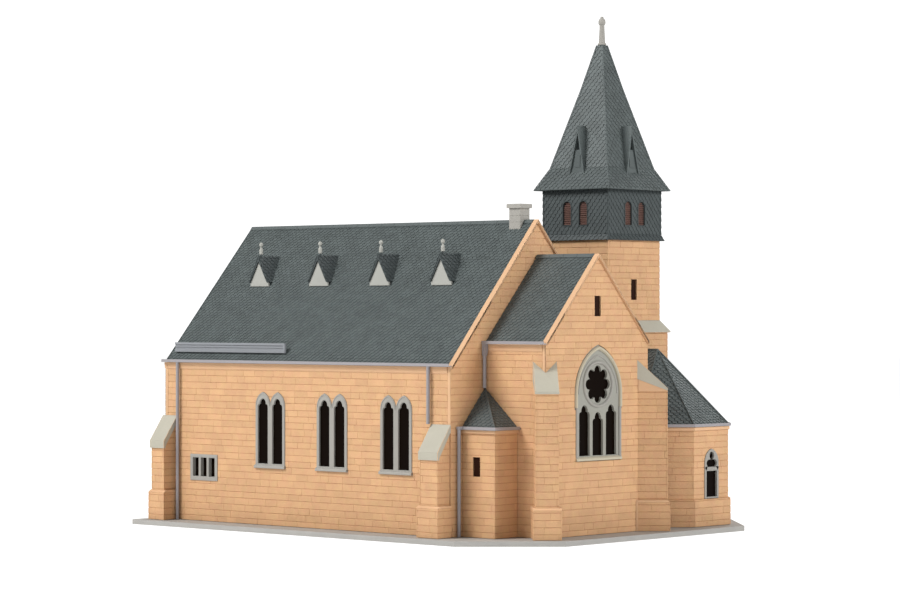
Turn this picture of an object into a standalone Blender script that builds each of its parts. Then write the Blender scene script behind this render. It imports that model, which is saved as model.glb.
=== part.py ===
# Moulded scale model of a church on a thin base plate: a long nave with a lower
# chancel, a stair turret, a side tower with a slate spire and an octagonal chapel.
# Building frame, in metres: X runs along the nave towards the chancel, with zero on
# the outer face of the nave's east gable. Y is zero on the nave's axis, negative on
# the window side. Z is zero just below the top of the base plate.
import math

import bmesh
import bpy
from mathutils import Vector

# General sizes
GAP = 0.00015
WALL = 0.0020
ROOF_DROP = 0.0022
COPING_LIFT = 0.0002
VERGE_OUT = 0.0003
COPING_PROUD = 0.0010
COPING_FACE = 0.0016
CORNICE_OUT = 0.0006
CORNICE_TALL = 0.0016
EAVES_BACK = 0.0003
GUTTER_OUT = 0.0020
GUTTER_TALL = 0.0015
GUTTER_WALL = 0.0005
PIPE_R = 0.0009
PIPE_STAND_OFF = 0.00165
PLINTH_TOP = 0.0150
PLINTH_OUT = 0.0012

# Base plate
PLATE_THICK = 0.0026
PLATE_TOP = 0.0005
FOOT = PLATE_TOP + GAP
PLATE_WEST = -0.2144
PLATE_EAST = 0.0560
PLATE_SOUTH = -0.0800
PLATE_NAVE_NORTH = 0.0800
PLATE_NORTH = 0.1340
PLATE_SOUTH_BEND_X = 0.0160
PLATE_EAST_BEND_Y = -0.0437
PLATE_CHAPEL_BEND = 0.0357
PLATE_STEP_X = -0.0680
ORIGIN_X = (PLATE_WEST + PLATE_EAST) / 2
ORIGIN_Y = (PLATE_SOUTH + PLATE_NORTH) / 2

# Nave
NAVE_LENGTH = 0.2056
NAVE_HALF = 0.0645
NAVE_COPING_TOP = 0.1570
NAVE_PITCH = 1.130
NAVE_CORNICE_TOP = 0.0837

# Chancel
CHANCEL_LENGTH = 0.0395
CHANCEL_HALF = 0.0396
CHANCEL_COPING_TOP = 0.1393
CHANCEL_PITCH = 1.095
CHANCEL_CORNICE_TOP = 0.0946

# Nave windows: pairs of pointed lights
WINDOW_X = (-0.1256, -0.0811, -0.0366)
WINDOW_HALF = 0.0107
WINDOW_FOOT = 0.0300
WINDOW_SPRING = 0.0622
WINDOW_TOP = 0.0692
LIGHT_HALF = 0.0036
LIGHT_SPACING = 0.0106
LIGHT_DEPTH = 0.0010
LIGHT_FOOT = 0.0323
LIGHT_SPRING = 0.0615
LIGHT_TOP = 0.0656
SILL_SIDE = 0.0008
SILL_PROUD = 0.0010
VENT_X = -0.1754
VENT_HALF = 0.0103
VENT_FOOT = 0.0218
VENT_TOP = 0.0356
VENT_LIGHT_HALF = 0.0022
VENT_LIGHT_SPACING = 0.0061
VENT_LIGHT_FOOT = 0.0240
VENT_LIGHT_TOP = 0.0338
FRAME_PROUD = 0.0004
PANE_THICK = 0.0006
SLIT_DEPTH = 0.0008

# Great window of the chancel, repeated above the west door
GREAT_CENTRE = 0.0006
GREAT_HALF = 0.0175
GREAT_HOOD_HALF = 0.01825
GREAT_FOOT = 0.0371
GREAT_STEP = 0.0626
GREAT_SPRING = 0.0702
GREAT_TOP = 0.0943
ROSE_Z = 0.0748
ROSE_HALF = 0.0090
GREAT_LIGHT_HALF = 0.0040
GREAT_LIGHT_SPACING = 0.0103
GREAT_LIGHT_FOOT = 0.0397
GREAT_SIDE_TOP = 0.0646
GREAT_MIDDLE_TOP = 0.0611
GREAT_LIGHT_RISE = 0.0056
WEST_WINDOW_LIFT = 0.0110
SLIT_HALF = 0.00235
CHANCEL_SLIT_FOOT = 0.1084
CHANCEL_SLIT_TOP = 0.1185
WEST_SLIT_LIFT = 0.0130

# West door
DOOR_HALF = 0.0110
DOOR_SPRING = 0.0230
DOOR_TOP = 0.0370
DOOR_THICK = 0.0012

# Buttresses of the nave
BUTTRESS_EAST_WIDE = 0.0118
BUTTRESS_WEST_WIDE = 0.0098
BUTTRESS_EAST_X = -0.0065
BUTTRESS_WEST_X = -0.2017
BUTTRESS_OUT = 0.0090
BUTTRESS_CAP_SIDE = 0.0006
BUTTRESS_CAP_TOP = 0.0555
BUTTRESS_CAP_LOW = 0.0423
BUTTRESS_CAP_FOOT = 0.0385
BUTTRESS_CAP_EDGE = 0.0026

# Diagonal buttresses of the chancel
DIAGONAL_WIDE = 0.0115
DIAGONAL_OUT = 0.0093
DIAGONAL_CAP_TOP = 0.0863
DIAGONAL_CAP_BACK = 0.0775
DIAGONAL_CAP_LOW = 0.0722
DIAGONAL_CAP_FOOT = 0.0710
DIAGONAL_CAP_SIDE = 0.0001

# Rainwater pipes
SOUTH_PIPE_WEST_X = -0.1942
SOUTH_PIPE_EAST_X = -0.0136
CHANCEL_PIPE_X = 0.0013
RAIN_HEAD_WIDE = 0.0024
RAIN_HEAD_FOOT = 0.0890
RAIN_HEAD_OUT = 0.0026
TURRET_PIPE_X = 0.0013
TURRET_PIPE_Y = -0.0600

# Dormers, snow rail and chimney of the nave roof
DORMER_X = (-0.1700, -0.1257, -0.0817, -0.0386)
DORMER_FRONT_Y = 0.0295
DORMER_FOOT = 0.1240
DORMER_RIDGE = 0.1402
DORMER_HALF = 0.0066
DORMER_ROOF_HALF = 0.0070
DORMER_ROOF_OUT = 0.0012
DORMER_ROOF_THICK = 0.0014
DORMER_BAND = 0.0030
DORMER_ROD_R = 0.00055
DORMER_ROD_BACK = 0.0015
DORMER_ROD_TOP = 0.1474
DORMER_KNOB_Z = 0.1462
DORMER_KNOB_R = 0.0010
RAIL_WEST_X = -0.2019
RAIL_EAST_X = -0.1187
RAIL_LOW = 0.0893
RAIL_HIGH = 0.0943
RAIL_THICK = 0.0011
RAIL_FOOT_SPACING = 0.0190
CHIMNEY_X = -0.01185
CHIMNEY_HALF_X = 0.0037
CHIMNEY_HALF_Y = 0.0037
CHIMNEY_CAP_OUT = 0.0009
CHIMNEY_CAP_FOOT = 0.1629
CHIMNEY_TOP = 0.1651

# Stair turret between nave and chancel
TURRET_EAST = 0.0215
TURRET_SOUTH = -0.0565
TURRET_WALL_TOP = 0.0518
TURRET_CORNICE_TOP = 0.0531
TURRET_APEX = 0.0736
TURRET_EAVES_OUT = 0.0009
TURRET_SLIT_X = 0.0095
TURRET_SLIT_FOOT = 0.0303
TURRET_SLIT_TOP = 0.0398

# Tower
TOWER_X = -0.0291
TOWER_Y = 0.0867
TOWER_HALF = 0.0218
TOWER_STAGE_OUT = 0.0030
TOWER_OFFSET_LOW = 0.1001
TOWER_OFFSET_LIP = 0.0010
TOWER_OFFSET_TOP = 0.1059
TOWER_TOP = 0.14805
TOWER_SLIT_FOOT = 0.1168
TOWER_SLIT_TOP = 0.1276

# Belfry, spire and finial
BELFRY_HALF = 0.0225
BELFRY_SKIRT = 0.0012
BELFRY_SKIRT_TALL = 0.0030
BELFRY_TOP = 0.17455
BELFRY_FLOOR = 0.1482
LOUVRE_SPACING = 0.0110
LOUVRE_HALF = 0.0027
LOUVRE_FOOT = 0.1560
LOUVRE_SPRING = 0.1658
SPIRE_EAVES = 0.1747
SPIRE_EAVES_HALF = 0.0258
SPIRE_KINK = 0.1863
SPIRE_KINK_HALF = 0.0196
SPIRE_BEND = 0.2280
SPIRE_BEND_HALF = 0.0081
SPIRE_TOP = 0.2519
SPIRE_TOP_HALF = 0.0021
SPIRE_SHELL = 0.0018
LUCARNE_FRONT = 0.0213
LUCARNE_FOOT = 0.1825
LUCARNE_APEX = 0.2084
LUCARNE_HALF = 0.0057
FINIAL_PROFILE = (
    (0.0024, 0.25205), (0.0023, 0.2528), (0.0019, 0.2531), (0.0017, 0.2565),
    (0.0012, 0.2595), (0.0011, 0.2622), (0.0018, 0.2630), (0.0019, 0.2642),
    (0.0017, 0.2653), (0.0009, 0.2662), (0.0005, 0.2671),
)

# Octagonal chapel east of the tower
CHAPEL_X = 0.0086
CHAPEL_Y = 0.0866
CHAPEL_HALF = 0.0350
CHAPEL_WALL_TOP = 0.0500
CHAPEL_CORNICE_TOP = 0.0515
CHAPEL_EAVES_OUT = 0.0006
CHAPEL_GUTTER_OUT = 0.0013
CHAPEL_APEX = 0.0910
CHAPEL_PLINTH_TOP = 0.0145
CHAPEL_WINDOW_HALF = 0.0058
CHAPEL_WINDOW_FOOT = 0.0147
CHAPEL_WINDOW_SPRING = 0.0330
CHAPEL_WINDOW_TOP = 0.0402
CHAPEL_LIGHT_HALF = 0.0032
CHAPEL_LIGHT_FOOT = 0.0154
CHAPEL_BAR_LOW = 0.0288
CHAPEL_BAR_HIGH = 0.0309
CHAPEL_LOBE_TOP = 0.0350
CHAPEL_EYE_Z = 0.0369
CHAPEL_EYE_HALF = 0.0017

# Colours of the moulded plastics, linear
COLOURS = {
    "sandstone": (0.62, 0.36, 0.16, 1.0),
    "slate": (0.085, 0.105, 0.108, 1.0),
    "trim": (0.50, 0.49, 0.43, 1.0),
    "gutter": (0.40, 0.37, 0.39, 1.0),
    "louvre": (0.10, 0.035, 0.022, 1.0),
    "glass": (0.012, 0.013, 0.015, 1.0),
    "plate": (0.42, 0.41, 0.39, 1.0),
}


def clear_scene():
    for item in list(bpy.data.objects):
        bpy.data.objects.remove(item, do_unlink=True)


def plastic(name):
    material = bpy.data.materials.new(name)
    material.use_nodes = True
    shader = material.node_tree.nodes["Principled BSDF"]
    shader.inputs["Base Color"].default_value = COLOURS[name]
    shader.inputs["Roughness"].default_value = 0.25 if name == "glass" else 0.6
    shader.inputs["Metallic"].default_value = 0.0
    return material


def place_point(axis, across, up, along):
    if axis == "X":
        return Vector((along, across, up))
    if axis == "Y":
        return Vector((across, along, up))
    return Vector((across, up, along))


def finish_mesh(name, bm):
    bmesh.ops.recalc_face_normals(bm, faces=bm.faces)
    mesh = bpy.data.meshes.new(name)
    bm.to_mesh(mesh)
    bm.free()
    return mesh


def add_object(name, mesh, material=None):
    item = bpy.data.objects.new(name, mesh)
    bpy.context.scene.collection.objects.link(item)
    item.parent = BUILDING
    if material is None:
        item.hide_render = True
        item.display_type = "WIRE"
    else:
        mesh.materials.append(MATERIALS[material])
    return item


def prisms(name, outlines, axis, start, end, material=None):
    """Closed prisms of the outlines, run along one axis, as one mesh object."""
    bm = bmesh.new()
    for outline in outlines:
        low = [bm.verts.new(place_point(axis, a, b, start)) for a, b in outline]
        high = [bm.verts.new(place_point(axis, a, b, end)) for a, b in outline]
        bm.faces.new(low)
        bm.faces.new(high)
        for i in range(len(outline)):
            j = (i + 1) % len(outline)
            bm.faces.new((low[i], low[j], high[j], high[i]))
    return add_object(name, finish_mesh(name, bm), material)


def boxes(name, corners, material=None):
    """Closed boxes, each given by its lowest and highest corner."""
    bm = bmesh.new()
    for low, high in corners:
        made = bmesh.ops.create_cube(bm, size=1.0)["verts"]
        for vert in made:
            for k in range(3):
                vert.co[k] = high[k] if vert.co[k] > 0 else low[k]
    return add_object(name, finish_mesh(name, bm), material)


def turned(name, profile, centre, material=None, sides=16):
    """A solid of revolution about a vertical line, from radius and height pairs."""
    bm = bmesh.new()
    rings = []
    for radius, height in profile:
        ring = []
        for k in range(sides):
            turn = 2 * math.pi * k / sides
            x = centre[0] + radius * math.cos(turn)
            y = centre[1] + radius * math.sin(turn)
            ring.append(bm.verts.new((x, y, height)))
        rings.append(ring)
    for low, high in zip(rings, rings[1:]):
        for k in range(sides):
            n = (k + 1) % sides
            bm.faces.new((low[k], low[n], high[n], high[k]))
    bm.faces.new(rings[0])
    bm.faces.new(rings[-1])
    mesh = finish_mesh(name, bm)
    mesh.shade_smooth()
    mesh.set_sharp_from_angle(angle=math.radians(40))
    return add_object(name, mesh, material)


def loft(name, rings, material=None):
    """A closed solid through rings of equal point counts, capped at both ends."""
    bm = bmesh.new()
    made = [[bm.verts.new(point) for point in ring] for ring in rings]
    for low, high in zip(made, made[1:]):
        for k in range(len(low)):
            n = (k + 1) % len(low)
            bm.faces.new((low[k], low[n], high[n], high[k]))
    bm.faces.new(made[0])
    bm.faces.new(made[-1])
    return add_object(name, finish_mesh(name, bm), material)


def boolean(item, operand, operation):
    modifier = item.modifiers.new(operand.name, "BOOLEAN")
    modifier.operation = operation
    modifier.solver = "EXACT"
    modifier.object = operand
    return item


def cut(item, operand):
    return boolean(item, operand, "DIFFERENCE")


def join(item, operand):
    return boolean(item, operand, "UNION")


def rectangle(low_a, high_a, low_b, high_b):
    return [(low_a, low_b), (high_a, low_b), (high_a, high_b), (low_a, high_b)]


def arch_head(centre, half, spring, top, steps):
    """Points of a pointed head, from its right springing over the tip to the left."""
    rise = top - spring
    radius = (half * half + rise * rise) / (2 * half)
    reach = math.atan2(rise, radius - half) if radius > half else math.pi / 2
    right = []
    for k in range(steps + 1):
        turn = reach * k / steps
        right.append((half - radius + radius * math.cos(turn), radius * math.sin(turn)))
    left = [(-a, b) for a, b in reversed(right[:-1])]
    return [(centre + a, spring + b) for a, b in right + left]


def pointed(centre, half, foot, spring, top, steps=5):
    feet = [(centre - half, foot), (centre + half, foot)]
    return feet + arch_head(centre, half, spring, top, steps)


def circle(centre_a, centre_b, radius, sides=20):
    turns = [2 * math.pi * (k + 0.5) / sides for k in range(sides)]
    return [(centre_a + radius * math.cos(t), centre_b + radius * math.sin(t)) for t in turns]


def twin_window_outline(centre, by):
    """Two pointed heads side by side over one square foot, with a sharp valley."""
    quarter = WINDOW_HALF / 2
    foot = WINDOW_FOOT - by
    points = [(centre - WINDOW_HALF - by, foot), (centre + WINDOW_HALF + by, foot)]
    half = quarter + by
    rise = WINDOW_TOP + by - WINDOW_SPRING
    radius = (half * half + rise * rise) / (2 * half)
    valley = WINDOW_SPRING + math.sqrt(2 * radius * by - by * by)
    for side in (1, -1):
        head = arch_head(centre + side * quarter, half, WINDOW_SPRING, WINDOW_TOP + by, 5)
        above = WINDOW_SPRING - 0.00001
        points += [p for p in head if side * (p[0] - centre) > 0.00001 and p[1] > above]
        if side > 0:
            points.append((centre, valley))
    return points


def great_window_outline(centre, lift, by):
    """A tall pointed window whose hooded upper part is a little wider."""
    foot = GREAT_FOOT + lift - by
    step = GREAT_STEP + lift - by
    head = arch_head(centre, GREAT_HOOD_HALF + by, GREAT_SPRING + lift, GREAT_TOP + lift + by, 8)
    points = [(centre - GREAT_HALF - by, foot), (centre + GREAT_HALF + by, foot)]
    points += [(centre + GREAT_HALF + by, step), (centre + GREAT_HOOD_HALF + by, step)]
    points += head
    points += [(centre - GREAT_HOOD_HALF - by, step), (centre - GREAT_HALF - by, step)]
    return points


def great_window_lights(centre, lift):
    lights = [circle(centre, ROSE_Z + lift, ROSE_HALF)]
    for k in (-1, 0, 1):
        top = (GREAT_MIDDLE_TOP if k == 0 else GREAT_SIDE_TOP) + lift
        across = centre + k * GREAT_LIGHT_SPACING
        spring = top - GREAT_LIGHT_RISE
        lights.append(pointed(across, GREAT_LIGHT_HALF, GREAT_LIGHT_FOOT + lift, spring, top, 4))
    return lights


def make_base_plate():
    outline = [
        (PLATE_WEST, PLATE_SOUTH),
        (PLATE_SOUTH_BEND_X, PLATE_SOUTH),
        (PLATE_EAST, PLATE_EAST_BEND_Y),
        (PLATE_EAST, PLATE_NORTH - PLATE_CHAPEL_BEND),
        (PLATE_EAST - PLATE_CHAPEL_BEND, PLATE_NORTH),
        (PLATE_STEP_X, PLATE_NORTH),
        (PLATE_STEP_X, PLATE_NAVE_NORTH),
        (PLATE_WEST, PLATE_NAVE_NORTH),
    ]
    prisms("base_plate", [outline], "Z", PLATE_TOP - PLATE_THICK, PLATE_TOP, "plate")


def gable(name, half, coping_top, pitch, inner, outer, proud, openings):
    """A gable wall with its raised coping, between two planes across X."""
    foot = coping_top - pitch * half
    low_top = coping_top - COPING_FACE / 2
    low_foot = foot - COPING_FACE / 2
    body = [(-half, FOOT), (half, FOOT), (half, low_foot), (0, low_top), (-half, low_foot)]
    wall = prisms(name, [body], "X", inner, outer, "sandstone")
    band = [
        (-half, foot - COPING_FACE), (0, coping_top - COPING_FACE), (half, foot - COPING_FACE),
        (half, foot), (0, coping_top), (-half, foot),
    ]
    join(wall, prisms(name + "_band", [band], "X", inner, outer + proud))
    if openings:
        low, high = min(inner, outer) - WALL, max(inner, outer) + WALL
        cut(wall, prisms(name + "_holes", openings, "X", low, high))
    return wall


def roof_under(half, coping_top, pitch, distance):
    """Height of a roof slab's underside, less the seam, at a distance from the axis."""
    seam = GAP * math.hypot(1.0, pitch)
    return coping_top - COPING_LIFT - pitch * distance - ROOF_DROP - seam


def side_wall_profile(half, cornice_top, coping_top, pitch, side):
    """Section of an eaves wall whose sloping top carries the roof slab."""
    ledge = cornice_top - CORNICE_TALL
    step = CORNICE_OUT / 2
    back = half - EAVES_BACK
    points = [
        (half, FOOT), (half, ledge - 0.0017), (half + step, ledge - 0.0014), (half + step, ledge),
        (half + CORNICE_OUT, ledge + 0.0002), (half + CORNICE_OUT, cornice_top), (back, cornice_top),
        (back, roof_under(half, coping_top, pitch, back)),
        (half - WALL, roof_under(half, coping_top, pitch, half - WALL)), (half - WALL, FOOT),
    ]
    return [(side * a, b) for a, b in points]


def roof_profile(half, coping_top, pitch, side):
    ridge = coping_top - COPING_LIFT
    inner, outer = GAP, half - EAVES_BACK - GAP
    points = [
        (inner, ridge - pitch * inner), (outer, ridge - pitch * outer),
        (outer, ridge - pitch * outer - ROOF_DROP), (inner, ridge - pitch * inner - ROOF_DROP),
    ]
    return [(side * a, b) for a, b in points]


def gutter_profile(face, floor, side):
    """A flat channel that stands on the cornice, open upwards."""
    inner = face + GAP
    outer = face + CORNICE_OUT + GUTTER_OUT
    points = [
        (inner, floor), (outer, floor), (outer, floor + GUTTER_TALL),
        (outer - GUTTER_WALL, floor + GUTTER_TALL), (outer - GUTTER_WALL, floor + GUTTER_WALL),
        (inner, floor + GUTTER_WALL),
    ]
    return [(side * a, b) for a, b in points]


def pipe(name, x, y, low, high):
    return turned(name, ((PIPE_R, low), (PIPE_R, high)), (x, y), sides=12)


def gable_slit(lift, by):
    foot, top = CHANCEL_SLIT_FOOT + lift, CHANCEL_SLIT_TOP + lift
    return rectangle(-SLIT_HALF - by, SLIT_HALF + by, foot - by, top + by)


def covered_gable_outline():
    """The nave's west gable, up to the underside of the roof, with both ends of the cornices."""
    right, left = [
        side_wall_profile(NAVE_HALF, NAVE_CORNICE_TOP, NAVE_COPING_TOP, NAVE_PITCH, side)[:8]
        for side in (1, -1)
    ]
    return right + [(0.0, roof_under(NAVE_HALF, NAVE_COPING_TOP, NAVE_PITCH, 0.0))] + left[::-1]


def make_nave_walls():
    inner_west, inner_east = -NAVE_LENGTH + WALL + GAP, -WALL - GAP
    for label, side, windows in (("south", -1, WINDOW_X), ("north", 1, WINDOW_X[:2])):
        profile = side_wall_profile(NAVE_HALF, NAVE_CORNICE_TOP, NAVE_COPING_TOP, NAVE_PITCH, side)
        wall = prisms(f"nave_{label}_wall", [profile], "X", inner_west, inner_east, "sandstone")
        holes = [twin_window_outline(x, GAP) for x in windows]
        vent_half = VENT_HALF + GAP
        holes.append(rectangle(VENT_X - vent_half, VENT_X + vent_half, VENT_FOOT - GAP, VENT_TOP + GAP))
        low, high = sorted((side * (NAVE_HALF - 2 * WALL), side * (NAVE_HALF + WALL)))
        cut(wall, prisms(f"nave_{label}_holes", holes, "Y", low, high))
        if side > 0:
            low = (TOWER_X - TOWER_HALF - TOWER_STAGE_OUT - GAP, NAVE_HALF + 0.00003, 0.05)
            cut(wall, boxes("nave_north_cornice_end", [(low, (WALL, NAVE_HALF + WALL, 0.1))]))
    gable("nave_east_gable", NAVE_HALF, NAVE_COPING_TOP, NAVE_PITCH, -WALL, 0.0, COPING_PROUD, [])
    west_openings = [
        pointed(0.0, DOOR_HALF, -WALL, DOOR_SPRING, DOOR_TOP),
        great_window_outline(0.0, WEST_WINDOW_LIFT, GAP),
        gable_slit(WEST_SLIT_LIFT, 0.0),
    ]
    west = prisms("nave_west_gable", [covered_gable_outline()], "X",
                  -NAVE_LENGTH, -NAVE_LENGTH + WALL, "sandstone")
    cut(west, prisms("nave_west_holes", west_openings, "X", -NAVE_LENGTH - WALL, -NAVE_LENGTH + 2 * WALL))


def windows_on_side(label, side, windows):
    """Stone frames of one nave wall, carried by the sheet of dark panes behind them."""
    inner = NAVE_HALF - WALL - GAP
    back, front = inner - PANE_THICK, NAVE_HALF + FRAME_PROUD
    frames = [twin_window_outline(x, 0.0) for x in windows]
    frames.append(rectangle(VENT_X - VENT_HALF, VENT_X + VENT_HALF, VENT_FOOT, VENT_TOP))
    lights = []
    for x in windows:
        for k in (-1, 1):
            across = x + k * LIGHT_SPACING / 2
            lights.append(pointed(across, LIGHT_HALF, LIGHT_FOOT, LIGHT_SPRING, LIGHT_TOP, 4))
    vent_lights = []
    for k in (-1, 0, 1):
        across = VENT_X + k * VENT_LIGHT_SPACING
        low, high = across - VENT_LIGHT_HALF, across + VENT_LIGHT_HALF
        vent_lights.append(rectangle(low, high, VENT_LIGHT_FOOT, VENT_LIGHT_TOP))
    west = VENT_X - VENT_HALF - WALL
    east = max(windows) + WINDOW_HALF + WALL
    low, high = sorted((side * back, side * inner))
    sheet = rectangle(west, east, VENT_FOOT - WALL, WINDOW_TOP + WALL)
    name = f"nave_{label}_windows"
    item = prisms(name, [sheet], "Y", low, high, "glass")
    low, high = sorted((side * (inner - PANE_THICK / 2), side * front))
    framing = prisms(name + "_frames", frames, "Y", low, high)
    low, high = sorted((side * (front - LIGHT_DEPTH), side * (front + WALL)))
    cut(framing, prisms(name + "_lights", lights, "Y", low, high))
    low, high = sorted((side * inner, side * (front + WALL)))
    cut(framing, prisms(name + "_vent_lights", vent_lights, "Y", low, high))
    join(item, framing)
    low, high = sorted((side * (NAVE_HALF + GAP), side * (front + SILL_PROUD)))
    reach, sill_foot, sill_top = WINDOW_HALF + SILL_SIDE, WINDOW_FOOT - 0.0002, LIGHT_FOOT - 0.0004
    corners = [((x - reach, low, sill_foot), (x + reach, high, sill_top)) for x in windows]
    join(item, boxes(name + "_sills", corners))


def great_window(name, centre, lift, wall_inner, direction, slit_lift):
    """Tracery of a gable's great window on its sheet of panes; direction is 1 east."""
    inner = wall_inner - direction * GAP
    back = inner - direction * PANE_THICK
    front = wall_inner + direction * (WALL + FRAME_PROUD)
    top = CHANCEL_SLIT_TOP + slit_lift + WALL
    wide, narrow = GREAT_HOOD_HALF + WALL, SLIT_HALF + WALL
    shoulder = GREAT_TOP + lift + WALL
    foot = GREAT_FOOT + lift - WALL
    sheet = [(-wide, foot), (wide, foot), (wide, shoulder), (narrow, shoulder),
             (narrow, top), (-narrow, top), (-narrow, shoulder), (-wide, shoulder)]
    item = prisms(name, [sheet], "X", back, inner, "glass")
    start = inner - direction * PANE_THICK / 2
    framing = prisms(name + "_frame", [great_window_outline(centre, lift, 0.0)], "X", start, front)
    lights = great_window_lights(centre, lift)
    cut(framing, prisms(name + "_lights", lights, "X", inner, front + direction * WALL))
    join(item, framing)
    plug_end = wall_inner + direction * (WALL - SLIT_DEPTH)
    join(item, prisms(name + "_plug", [gable_slit(slit_lift, -GAP)], "X", start, plug_end))


def make_windows():
    windows_on_side("south", -1, WINDOW_X)
    windows_on_side("north", 1, WINDOW_X[:2])
    great_window("chancel_window", GREAT_CENTRE, 0.0, CHANCEL_LENGTH - WALL, 1, 0.0)
    great_window("west_window", 0.0, WEST_WINDOW_LIFT, -NAVE_LENGTH + WALL, -1, WEST_SLIT_LIFT)


def make_west_door():
    outline = pointed(0.0, DOOR_HALF - GAP, FOOT, DOOR_SPRING, DOOR_TOP - GAP)
    outer = -NAVE_LENGTH + (WALL - DOOR_THICK) / 2
    prisms("west_door", [outline], "X", outer, outer + DOOR_THICK, "louvre")


def make_nave_roof():
    west, east = -NAVE_LENGTH - VERGE_OUT, -WALL - GAP
    for label, side in (("south", -1), ("north", 1)):
        profile = roof_profile(NAVE_HALF, NAVE_COPING_TOP, NAVE_PITCH, side)
        slab = prisms(f"nave_roof_{label}", [profile], "X", west, east, "slate")
        low = (CHIMNEY_X - CHIMNEY_HALF_X - GAP, -CHIMNEY_HALF_Y - GAP, NAVE_COPING_TOP - 0.02)
        high = (CHIMNEY_X + CHIMNEY_HALF_X + GAP, CHIMNEY_HALF_Y + GAP, NAVE_COPING_TOP + 0.02)
        cut(slab, boxes(f"chimney_hole_{label}", [(low, high)]))


def nave_roof_height(y):
    return NAVE_COPING_TOP - COPING_LIFT - NAVE_PITCH * abs(y)


def make_dormer(name, x, side):
    """Small slated dormer with a closed front, a knob and a rod, on the nave roof."""
    front = DORMER_FRONT_Y
    back = (NAVE_COPING_TOP - COPING_LIFT - DORMER_RIDGE) / NAVE_PITCH
    half, ridge, foot = DORMER_HALF, DORMER_RIDGE - DORMER_ROOF_THICK, DORMER_FOOT
    body = [(x - half, foot - 0.004), (x + half, foot - 0.004), (x + half, foot + DORMER_BAND),
            (x, ridge), (x - half, foot + DORMER_BAND)]
    low, high = sorted((side * (back - 0.003), side * front))
    item = prisms(name, [body], "Y", low, high, "slate")
    slope = (DORMER_RIDGE - foot - DORMER_BAND) / half
    wide = DORMER_ROOF_HALF
    eaves = DORMER_RIDGE - slope * wide
    under = eaves - DORMER_ROOF_THICK
    roof = [(x - wide, eaves), (x, DORMER_RIDGE), (x + wide, eaves),
            (x + wide, under), (x, ridge - 0.0004), (x - wide, under)]
    low, high = sorted((side * (back - 0.003), side * (front + DORMER_ROOF_OUT)))
    join(item, prisms(name + "_roof", [roof], "Y", low, high))
    join(item, turned(name + "_rod", (
        (DORMER_ROD_R, ridge - 0.001), (DORMER_ROD_R, DORMER_KNOB_Z - DORMER_KNOB_R),
        (DORMER_KNOB_R, DORMER_KNOB_Z), (DORMER_ROD_R, DORMER_KNOB_Z + DORMER_KNOB_R),
        (DORMER_ROD_R, DORMER_ROD_TOP),
    ), (x, side * (front - DORMER_ROD_BACK)), sides=10))
    clearance = roof_wedge(name + "_seat", side)
    cut(item, clearance)
    return item


def roof_wedge(name, side):
    """Everything under the nave roof's surface and a small gap, as a cutter."""
    reach = NAVE_HALF
    lift = GAP * 1.5
    ridge = NAVE_COPING_TOP - COPING_LIFT + lift
    outline = [(-side * 0.002, 0.06), (side * reach, 0.06), (side * reach, ridge - NAVE_PITCH * reach),
               (0.0, ridge), (-side * 0.002, ridge)]
    return prisms(name, [outline], "X", -NAVE_LENGTH, 0.0)


def make_dormers():
    for number, x in enumerate(DORMER_X, start=1):
        make_dormer(f"dormer_south_{number}", x, -1)
        make_dormer(f"dormer_north_{number}", x, 1)


def make_snow_rail():
    """A long channel-shaped rail on short feet near the foot of the south slope."""
    low_y = -(NAVE_COPING_TOP - COPING_LIFT - RAIL_LOW) / NAVE_PITCH - GAP
    corners = [((RAIL_WEST_X, low_y - RAIL_THICK, RAIL_LOW), (RAIL_EAST_X, low_y, RAIL_HIGH))]
    rail = boxes("snow_rail", corners, "gutter")
    count = int((RAIL_EAST_X - RAIL_WEST_X - 0.004) / RAIL_FOOT_SPACING) + 1
    feet = []
    for k in range(count):
        x = RAIL_WEST_X + 0.002 + k * RAIL_FOOT_SPACING
        low = (x, low_y - 0.0003, RAIL_LOW + 0.0012)
        feet.append((low, (x + 0.0012, low_y + 0.0034, RAIL_HIGH - 0.0008)))
    join(rail, boxes("snow_rail_feet", feet))
    cut(rail, roof_wedge("snow_rail_seat", -1))


def make_chimney():
    base = nave_roof_height(CHIMNEY_HALF_Y) - 0.0035
    x, half_x, half_y, out = CHIMNEY_X, CHIMNEY_HALF_X, CHIMNEY_HALF_Y, CHIMNEY_CAP_OUT
    low, high = (x - half_x, -half_y, base), (x + half_x, half_y, CHIMNEY_TOP - 0.0005)
    shaft = boxes("chimney", [(low, high)], "trim")
    low = (x - half_x - out, -half_y - out, CHIMNEY_CAP_FOOT)
    high = (x + half_x + out, half_y + out, CHIMNEY_TOP)
    join(shaft, boxes("chimney_cap", [(low, high)]))
    flue = 0.0018
    low, high = (x - flue, -flue, CHIMNEY_TOP - 0.003), (x + flue, flue, CHIMNEY_TOP + 0.003)
    cut(shaft, boxes("chimney_flue", [(low, high)]))


def make_nave_gutters():
    floor = NAVE_CORNICE_TOP + GAP
    west = -NAVE_LENGTH - 0.0003
    pipe_y = NAVE_HALF + PIPE_STAND_OFF
    profile = gutter_profile(NAVE_HALF, floor, -1)
    south = prisms("nave_gutter_south", [profile], "X", west, 0.0006, "gutter")
    join(south, pipe("south_pipe_west", SOUTH_PIPE_WEST_X, -pipe_y, FOOT, floor + GUTTER_WALL / 2))
    cap_height = BUTTRESS_CAP_TOP + GAP
    join(south, pipe("south_pipe_east", SOUTH_PIPE_EAST_X, -pipe_y, cap_height, floor + GUTTER_WALL / 2))
    end = TOWER_X - TOWER_HALF - TOWER_STAGE_OUT - 2 * GAP
    profile = gutter_profile(NAVE_HALF, floor, 1)
    north = prisms("nave_gutter_north", [profile], "X", west, end, "gutter")
    join(north, pipe("north_pipe_west", SOUTH_PIPE_WEST_X, pipe_y, FOOT, floor + GUTTER_WALL / 2))


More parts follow.
